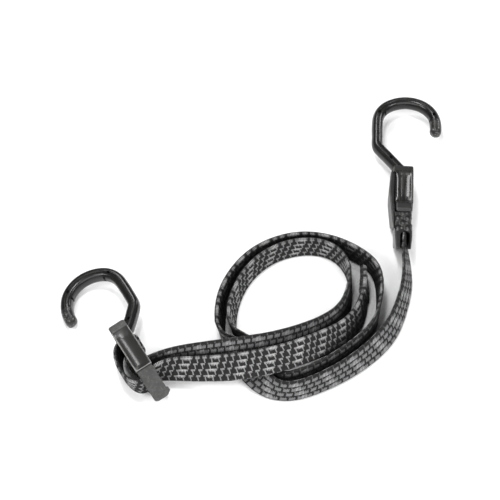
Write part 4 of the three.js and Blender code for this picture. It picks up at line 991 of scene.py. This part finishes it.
housing = shell("fixed_housing_moulding", FIXED,
                steps((0.6, -1.0, 0.2), (-1.0, -4.0, 0.6), (-4.0, -9, 0.4), (-9, -28, 0.7), (-28, -35, 0.25), (-35, -38.6, 0.5), (-38.6, -41, 0.2)),
                along([(0.6, -7.2), (0.35, -7.8), (-0.2, -8.3), (-4.8, -8.35), (-5.5, -7.7), (-6.1, -6.6), (-33.2, -6.6), (-33.8, -6.35), (-38.4, -6.35), (-39.8, -5.95), (-40.6, -5.5), (-41, -5.1)]),
                along([(0.6, 5.9), (0.35, 6.5), (-0.2, 7.0), (-5.2, 7.3), (-32.8, 7.4), (-33.5, 7.2), (-34.0, 6.95), (-34.6, 7.1), (-38.0, 7.1), (-39.6, 6.7), (-40.6, 6.0), (-41, 5.4)]),
                along([(0.6, 12.0), (0.35, 12.45), (-0.2, 12.72), (-33.1, 12.72), (-33.5, 12.5), (-33.8, 11.9), (-34.6, 12.1), (-38.6, 11.95), (-40.2, 11.4), (-41, 10.9)]),
                along([(1, 0), (-42, 0)]),
                along([(1, 0.6), (-5, 0.8), (-33, 0.8), (-34, 1.5), (-41, 1.6)]),
                [SPARK, PANEL, BOOT], flute)
combine(housing, [block(FIXED, -5.0, 5.5, -43, -2.4, -10.4, 10.4), block(FIXED, -12, -4.9, -43, -5.4, -10.4, 10.4), shank_notch(FIXED, FIXED_SHANK, 1, 1.05),
                  rod(FIXED, 0, -31, 2.3, -11.3, 11.3)], "DIFFERENCE")
finish_mesh(housing, 40)
repaint(housing, FIXED, lambda c, n: 1 if -33.6 < c[1] < -4.2 and abs(c[2]) > 10.6 and abs(n[2]) > 0.2 else 2)
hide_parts("fixed_housing")


def under_cut(u0):
    """Cutter that shortens a body's floor side: a plane leaning back from (u0, +v) to (u0 + 16.5, -v)."""
    n, t = np.array([-25.5, -16.5]) / math.hypot(25.5, 16.5), np.array([16.5, -25.5]) / math.hypot(25.5, 16.5)
    base = np.array([u0, 12.75])
    corner = [base - t * 40, base + t * 60, base + t * 60 + n * 60, base - t * 40 + n * 60]
    pts = [(w, u, v) for w in (-30, 30) for u, v in corner]
    faces = [(0, 1, 2, 3), (7, 6, 5, 4), (0, 4, 5, 1), (1, 5, 6, 2), (2, 6, 7, 3), (3, 7, 4, 0)]
    return outward(make_object("cutter", local_to_world(FIXED, pts), faces, smooth=False))


# Bulged back cover, with a row of fine pits along both rims.
cover_left = along([(-3.4, -9.5), (-3.8, -9.9), (-8.6, -10.7), (-15.8, -11.2), (-22.5, -11.2), (-29.2, -10.6), (-35.8, -9.95), (-42.4, -9.25), (-48.9, -8.55), (-54.6, -7.8), (-58, -7.4)])
cover_right = along([(-3.4, -8.7), (-5.4, -8.7), (-6.6, -6.9), (-58, -6.9)])
cover = shell("fixed_back_cover_moulding", FIXED, steps((-3.4, -7, 0.3), (-7, -57.4, 0.9), (-57.4, -58, 0.2)),
              cover_left, cover_right, along([(-3.4, 10.9), (-4.4, 11.5), (-57, 11.5), (-58, 11.2)]),
              along([(0, 0), (-70, 0)]), along([(-3.4, 0.3), (-4.2, 0.45), (-9, 1.1), (-40, 0.9), (-50, 0.6), (-58, 0.2)]), [BOOT, SPARK])
pits = []
for i in range(15):
    u = -9.5 - 2.3 * i
    for v0, v1 in ((10.9, 12.4), (-12.4, -10.9)):
        pits.append(rod(FIXED, cover_right(u) - 0.85, u, 0.5, v0, v1, 10, "cutter"))
combine(cover, pits + [under_cut(-58.4)], "DIFFERENCE")
finish_mesh(cover, 34)
# the left-facing flank takes the spark nylon: a textured finish, and its lighter colour is painted sheen from the light
# on that side
repaint(cover, FIXED, lambda c, n: 1 if n[0] < -0.35 else 0)
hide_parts("fixed_back_cover")


# Ribbed throat with a split mouth.
def throat_ribs(W, u):
    h = np.zeros_like(W)
    for u0, pairs in ((-43.6, (0.3,)), (-48.0, (-3.6, 3.9)), (-52.4, (0.3,)), (-57.0, (-3.6, 4.1))):
        for w0 in pairs:
            r2 = ((W - w0) / 3.3) ** 2 + ((u - u0) / 2.9) ** 2
            h = np.maximum(h, 1.0 * np.clip(1 - r2, 0, 1) ** 1.3)
    return h


throat = shell("fixed_throat_moulding", FIXED,
               steps((-41.3, -42.3, 0.25), (-42.3, -60, 0.3), (-60, -75.4, 0.8), (-75.4, -76.5, 0.2)),
               along([(-41.3, -6.0), (-42, -6.55), (-59, -6.55), (-63, -6.25), (-72, -5.55), (-75.2, -5.25), (-76.0, -4.6), (-76.5, -3.6)]),
               along([(-41.3, 5.4), (-42, 6.0), (-43, 6.1), (-44.6, 6.55), (-47.2, 6.55), (-48.6, 6.05), (-51.6, 6.05), (-53.4, 6.95), (-62, 7.05), (-68, 6.85), (-73.5, 6.25), (-75.6, 5.9), (-76.5, 5.4)]),
               along([(-41.3, 10.6), (-42, 11.1), (-57, 11.3), (-60, 11.7), (-75.3, 12.0), (-76.1, 11.6), (-76.5, 11.0)]),
               along([(0, 0), (-80, 0)]), along([(-41.3, 0.6), (-57, 1.2), (-62, 0.9), (-76.5, 0.7)]), [BOOT, SPARK], throat_ribs)
mouth = [block(FIXED, -3.8, 4.8, -62, -40, -10.2, 10.2), block(FIXED, -2.2, 5.3, -78, -61, -10.4, 10.4)]
for v0, v1 in ((8, 14), (-14, -8)):
    mouth += [block(FIXED, -2.2, 5.3, -78, -63.4, v0, v1), rod(FIXED, 1.55, -63.4, 3.75, v0, v1, 40, "cutter")]
combine(throat, mouth + [under_cut(-76.6)], "DIFFERENCE")
finish_mesh(throat, 34)
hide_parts("fixed_throat")
for o in (housing, cover, throat):
    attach(o, "fixed_end")

# Adjuster frame: two scooped cheeks, cap plate, two round bars and an end bar.
HW = 6.4
cheeks = shell("adjuster_frame_moulding", ADJUSTER,
               steps((0.6, -0.9, 0.2), (-0.9, -5.2, 0.7), (-5.2, -14, 0.35), (-14, -38, 0.8), (-38, -43.6, 0.4), (-43.6, -45.4, 0.12), (-45.4, -71, 0.9), (-71, -73.7, 0.2)),
               along([(0.6, -HW + 1.6), (0.25, -HW + 0.8), (-0.4, -HW + 0.15), (-0.9, -HW), (-5.4, -HW), (-5.7, -HW + 0.2), (-6.0, -HW), (-43.8, -HW), (-44.6, -HW + 0.35), (-71.4, -HW + 0.35), (-72.5, -HW + 0.9), (-73.2, -HW + 1.7), (-73.7, -HW + 3)]),
               along([(0.6, HW - 1.4), (0.25, HW - 0.5), (-0.4, HW + 0.3), (-1.2, HW + 0.7), (-5.4, HW + 0.7), (-5.7, HW + 0.45), (-6.0, HW + 0.7), (-43.8, HW + 0.6), (-44.6, HW), (-71.4, HW - 0.2), (-72.5, HW - 0.9), (-73.2, HW - 1.7), (-73.7, HW - 3)]),
               along([(0.6, 12.0), (0.3, 12.45), (-0.3, 12.72), (-5.3, 12.72), (-5.6, 12.45), (-5.9, 12.72), (-43.7, 12.72), (-44.1, 12.75), (-44.3, 12.6), (-44.55, 11.25), (-46.0, 11.25), (-50, 11.6), (-54, 11.75), (-72.6, 11.75), (-73.3, 11.4), (-73.7, 10.95)]),
               along([(0.6, 0), (-5.9, 0), (-7, 0.16), (-9, 0.52), (-11, 0.98), (-13, 1.4), (-15.5, 1.55), (-36, 1.55), (-40, 1.35), (-42.4, 0.75), (-43.7, 0.2), (-44.1, 0), (-74, 0)]),
               along([(0.6, 0.4), (-0.4, 0.7), (-44, 0.7), (-45, 0.7), (-74, 0.7)]),
               [SPARK, SCOOP])
combine(cheeks, [block(ADJUSTER, -9, 9, -76, -2.05, -10.4, 10.4)], "DIFFERENCE")


def plate(pose, outline, v0, v1, bevel=0.5):
    n = len(outline)
    pts = [(w, u, v0) for w, u in outline] + [(w, u, v1) for w, u in outline]
    faces = [tuple(range(n))[::-1], tuple(range(n, 2 * n))] + [(i, (i + 1) % n, n + (i + 1) % n, n + i) for i in range(n)]
    o = make_object("plate", local_to_world(pose, pts), faces, smooth=False)
    outward(o)
    bm = bmesh.new()
    bm.from_mesh(o.data)
    bmesh.ops.bevel(bm, geom=bm.edges[:], offset=bevel * 0.001, segments=3, affect="EDGES", profile=0.5)
    bm.to_mesh(o.data)
    bm.free()
    return outward(o)


def slanted_bar(top, foot, v0, v1, bevel=0.5):
    n = len(top)
    pts = [(w, u, v0) for w, u in top] + [(w, u, v1) for w, u in foot]
    faces = [tuple(range(n))[::-1], tuple(range(n, 2 * n))] + [(i, (i + 1) % n, n + (i + 1) % n, n + i) for i in range(n)]
    o = outward(make_object("bar", local_to_world(ADJUSTER, pts), faces, smooth=False))
    bm = bmesh.new()
    bm.from_mesh(o.data)
    bmesh.ops.bevel(bm, geom=bm.edges[:], offset=bevel * 0.001, segments=3, affect="EDGES", profile=0.5)
    bm.to_mesh(o.data)
    bm.free()
    return outward(o)


combine(cheeks, [block(ADJUSTER, -9, 9, -78, -58.6, -16, -9), plate(ADJUSTER, [(-9, -47), (-6.4, -50.6), (-1.8, -58.6), (-1.8, -61), (-9, -61)], -16, -9, 0.05)], "DIFFERENCE")
combine(cheeks, [slanted_bar([(-4.9, -72.7), (5.4, -72.7), (7.6, -71.3), (7.6, -67.7), (5.4, -66.3), (-5.4, -66.3)],
                             [(-1.4, -57.9), (4.4, -57.9), (5.6, -57), (5.6, -55.2), (4.4, -54.2), (-1.8, -54.2)], 10.9, -10.9),
                 rod(ADJUSTER, 0.5, -18, 2.2, -10.9, 10.9), rod(ADJUSTER, -0.5, -30, 2.2, -10.9, 10.9)], "UNION")
combine(cheeks, [shank_notch(ADJUSTER, ADJUSTER_SHANK, -1, 1.06), block(ADJUSTER, 1.5, 7.4, -52, -38, -11.35, -9.4),
                 rod(ADJUSTER, 0, -5.9, 2.6, 9.4, 11.75), rod(ADJUSTER, 0, -5.9, 2.6, -11.75, -9.4)], "DIFFERENCE")
finish_mesh(cheeks, 34)
cheeks.data.materials.append(RIM_HIGHLIGHT)
cheeks.data.materials.append(HOOK)
RIM_HIGHLIGHT_SLOT, INSIDE_SHADE = len(cheeks.data.materials) - 2, len(cheeks.data.materials) - 1


def cheek_paint(c, n):
    # painted shade: faces inside the frame take the darker, smoother hook nylon
    if abs(c[2]) < 10.5 and c[1] < -1.9:
        return INSIDE_SHADE
    if abs(c[2]) < 10.6 or abs(n[2]) < 0.2:
        return 0
    # painted highlight: the lip line and the scoop rims take the pale rim nylon
    if -44.5 < c[1] < -43.45 and abs(c[2]) > 11.6:
        return RIM_HIGHLIGHT_SLOT
    if -43.9 < c[1] < -5.95:
        if c[0] < -HW + 0.72 or c[0] > HW + 0.25:
            return RIM_HIGHLIGHT_SLOT
        return 1
    return 0


repaint(cheeks, ADJUSTER, cheek_paint)
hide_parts("adjuster_frame")
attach(cheeks, "adjuster")


# ------------------------------------------------------------------ tail stitching
def tube(points, r, sides=8):
    p = np.array(points, float)
    t = np.gradient(p, axis=0)
    t /= np.linalg.norm(t, axis=1)[:, None]
    ref = np.array([0.0, 0.0, 1.0])
    rings = []
    for i in range(len(p)):
        a = np.cross(t[i], ref)
        a /= max(np.linalg.norm(a), 1e-9)
        b = np.cross(t[i], a)
        rr = r * (0.35 if i in (0, len(p) - 1) else 1.0)
        rings.append([p[i] + rr * (math.cos(x) * a + math.sin(x) * b) for x in np.linspace(0, 2 * np.pi, sides, endpoint=False)])
    k = len(rings)
    verts = np.array(rings).reshape(-1, 3)
    faces = [tuple(f) for f in loft_faces(k, sides)] + [tuple(range(sides))[::-1], tuple((k - 1) * sides + j for j in range(sides))]
    return verts, faces


def tail_stitches():
    x0 = ROW_S[CUT["hem"]] + 7.0
    verts, faces = [], []
    for side in (1, -1):
        for ds in (0.0, 3.2):
            c, t, w, n = (a[0] for a in strap_frame(np.array([x0 + ds])))
            for k in range(15):
                lo = -7.7 + k * 1.05
                a = c + w * lo + n * side * 2.72 - t * 0.28
                b = c + w * (lo + 0.95) + n * side * 2.72 + t * 0.28
                pts = [a - n * side * 0.18, a * 0.75 + b * 0.25 + n * side * 0.12, (a + b) / 2 + n * side * 0.16, a * 0.25 + b * 0.75 + n * side * 0.12, b - n * side * 0.18]
                v, f = tube(pts, 0.3)
                faces += [tuple(i + len(verts) for i in q) for q in f]
                verts += list(v)
    o = make_object("tail_stitches", place(verts), faces, [THREAD])
    outward(o)
    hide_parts("tail_stitching")
    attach(o, "coil")
    return o


tail_stitches()

# ------------------------------------------------------------------ floor and light
floor_me = bpy.data.meshes.new("floor")
floor_me.from_pydata([(-4, -4, -0.0004), (4, -4, -0.0004), (4, 4, -0.0004), (-4, 4, -0.0004)], [], [(0, 1, 2, 3)])
floor = bpy.data.objects.new("floor", floor_me)
scene.collection.objects.link(floor)
FLOOR, floor_tree, floor_shader = new_material("floor", (0.9, 0.9, 0.9), 0.9, Specular_IOR_Level=0.1)
# painted shade: the floor goes dark in pockets enclosed by strands, by ambient occlusion
pocket_shade_ao = floor_tree.nodes.new("ShaderNodeAmbientOcclusion")
pocket_shade_ao.samples = 8
pocket_shade_ao.inputs["Distance"].default_value = 0.025
floor_tree.links.new(mix_color(floor_tree, Sum(floor_tree, pocket_shade_ao.outputs["AO"]).rise(0.10, 0.42), (0.02, 0.02, 0.02), (0.93, 0.93, 0.93)), floor_shader.inputs["Base Color"])
floor_me.materials.append(FLOOR)

world = bpy.data.worlds.new("studio")
scene.world = world
world.use_nodes = True
world.node_tree.nodes["Background"].inputs[0].default_value = (1, 1, 1, 1)
world.node_tree.nodes["Background"].inputs[1].default_value = 0.13


def area(name, at, aim, size, power, size_y=None):
    d = bpy.data.lights.new(name, "AREA")
    d.energy, d.size = power, size
    if size_y:
        d.shape, d.size_y = "RECTANGLE", size_y
    o = bpy.data.objects.new(name, d)
    scene.collection.objects.link(o)
    o.location = at
    o.rotation_euler = (Vector(aim) - Vector(at)).to_track_quat("-Z", "Y").to_euler()
    return o


area("front", (0.0, -1.35, 1.2), (0, 0, 0), 2.2, 30, 1.3)
area("back_left", (-0.45, 1.15, 1.6), (0, 0, 0), 0.42, 12, 0.6)
area("back_right", (1.5, 1.1, 0.95), (0, 0, 0), 0.45, 12, 0.6)
area("front_left", (-0.95, -0.5, 1.2), (0, 0, 0), 0.4, 8)
area("front_right", (1.05, -0.5, 1.2), (0, 0, 0), 0.4, 8)
area("spot", (-0.2, 0.10, 1.6), (-0.1, -0.1, 0), 0.24, 10)

# ------------------------------------------------------------------ bodies that the pieces move with
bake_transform(upper)
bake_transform(run)
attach(loops, "coil")
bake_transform(lead)
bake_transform(wrap)
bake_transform(tail)
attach(hem, "coil")

for name, material in (("fixed_hook_core", STEEL), ("adjuster_hook_core", STEEL), ("fixed_anchor_pin", STEEL), ("anchor_stitching", THREAD), ("tail_stitching", THREAD),
                       ("strap_anchor_loop", WEB)):
    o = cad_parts[name]
    o.data.materials.clear()
    o.data.materials.append(material)
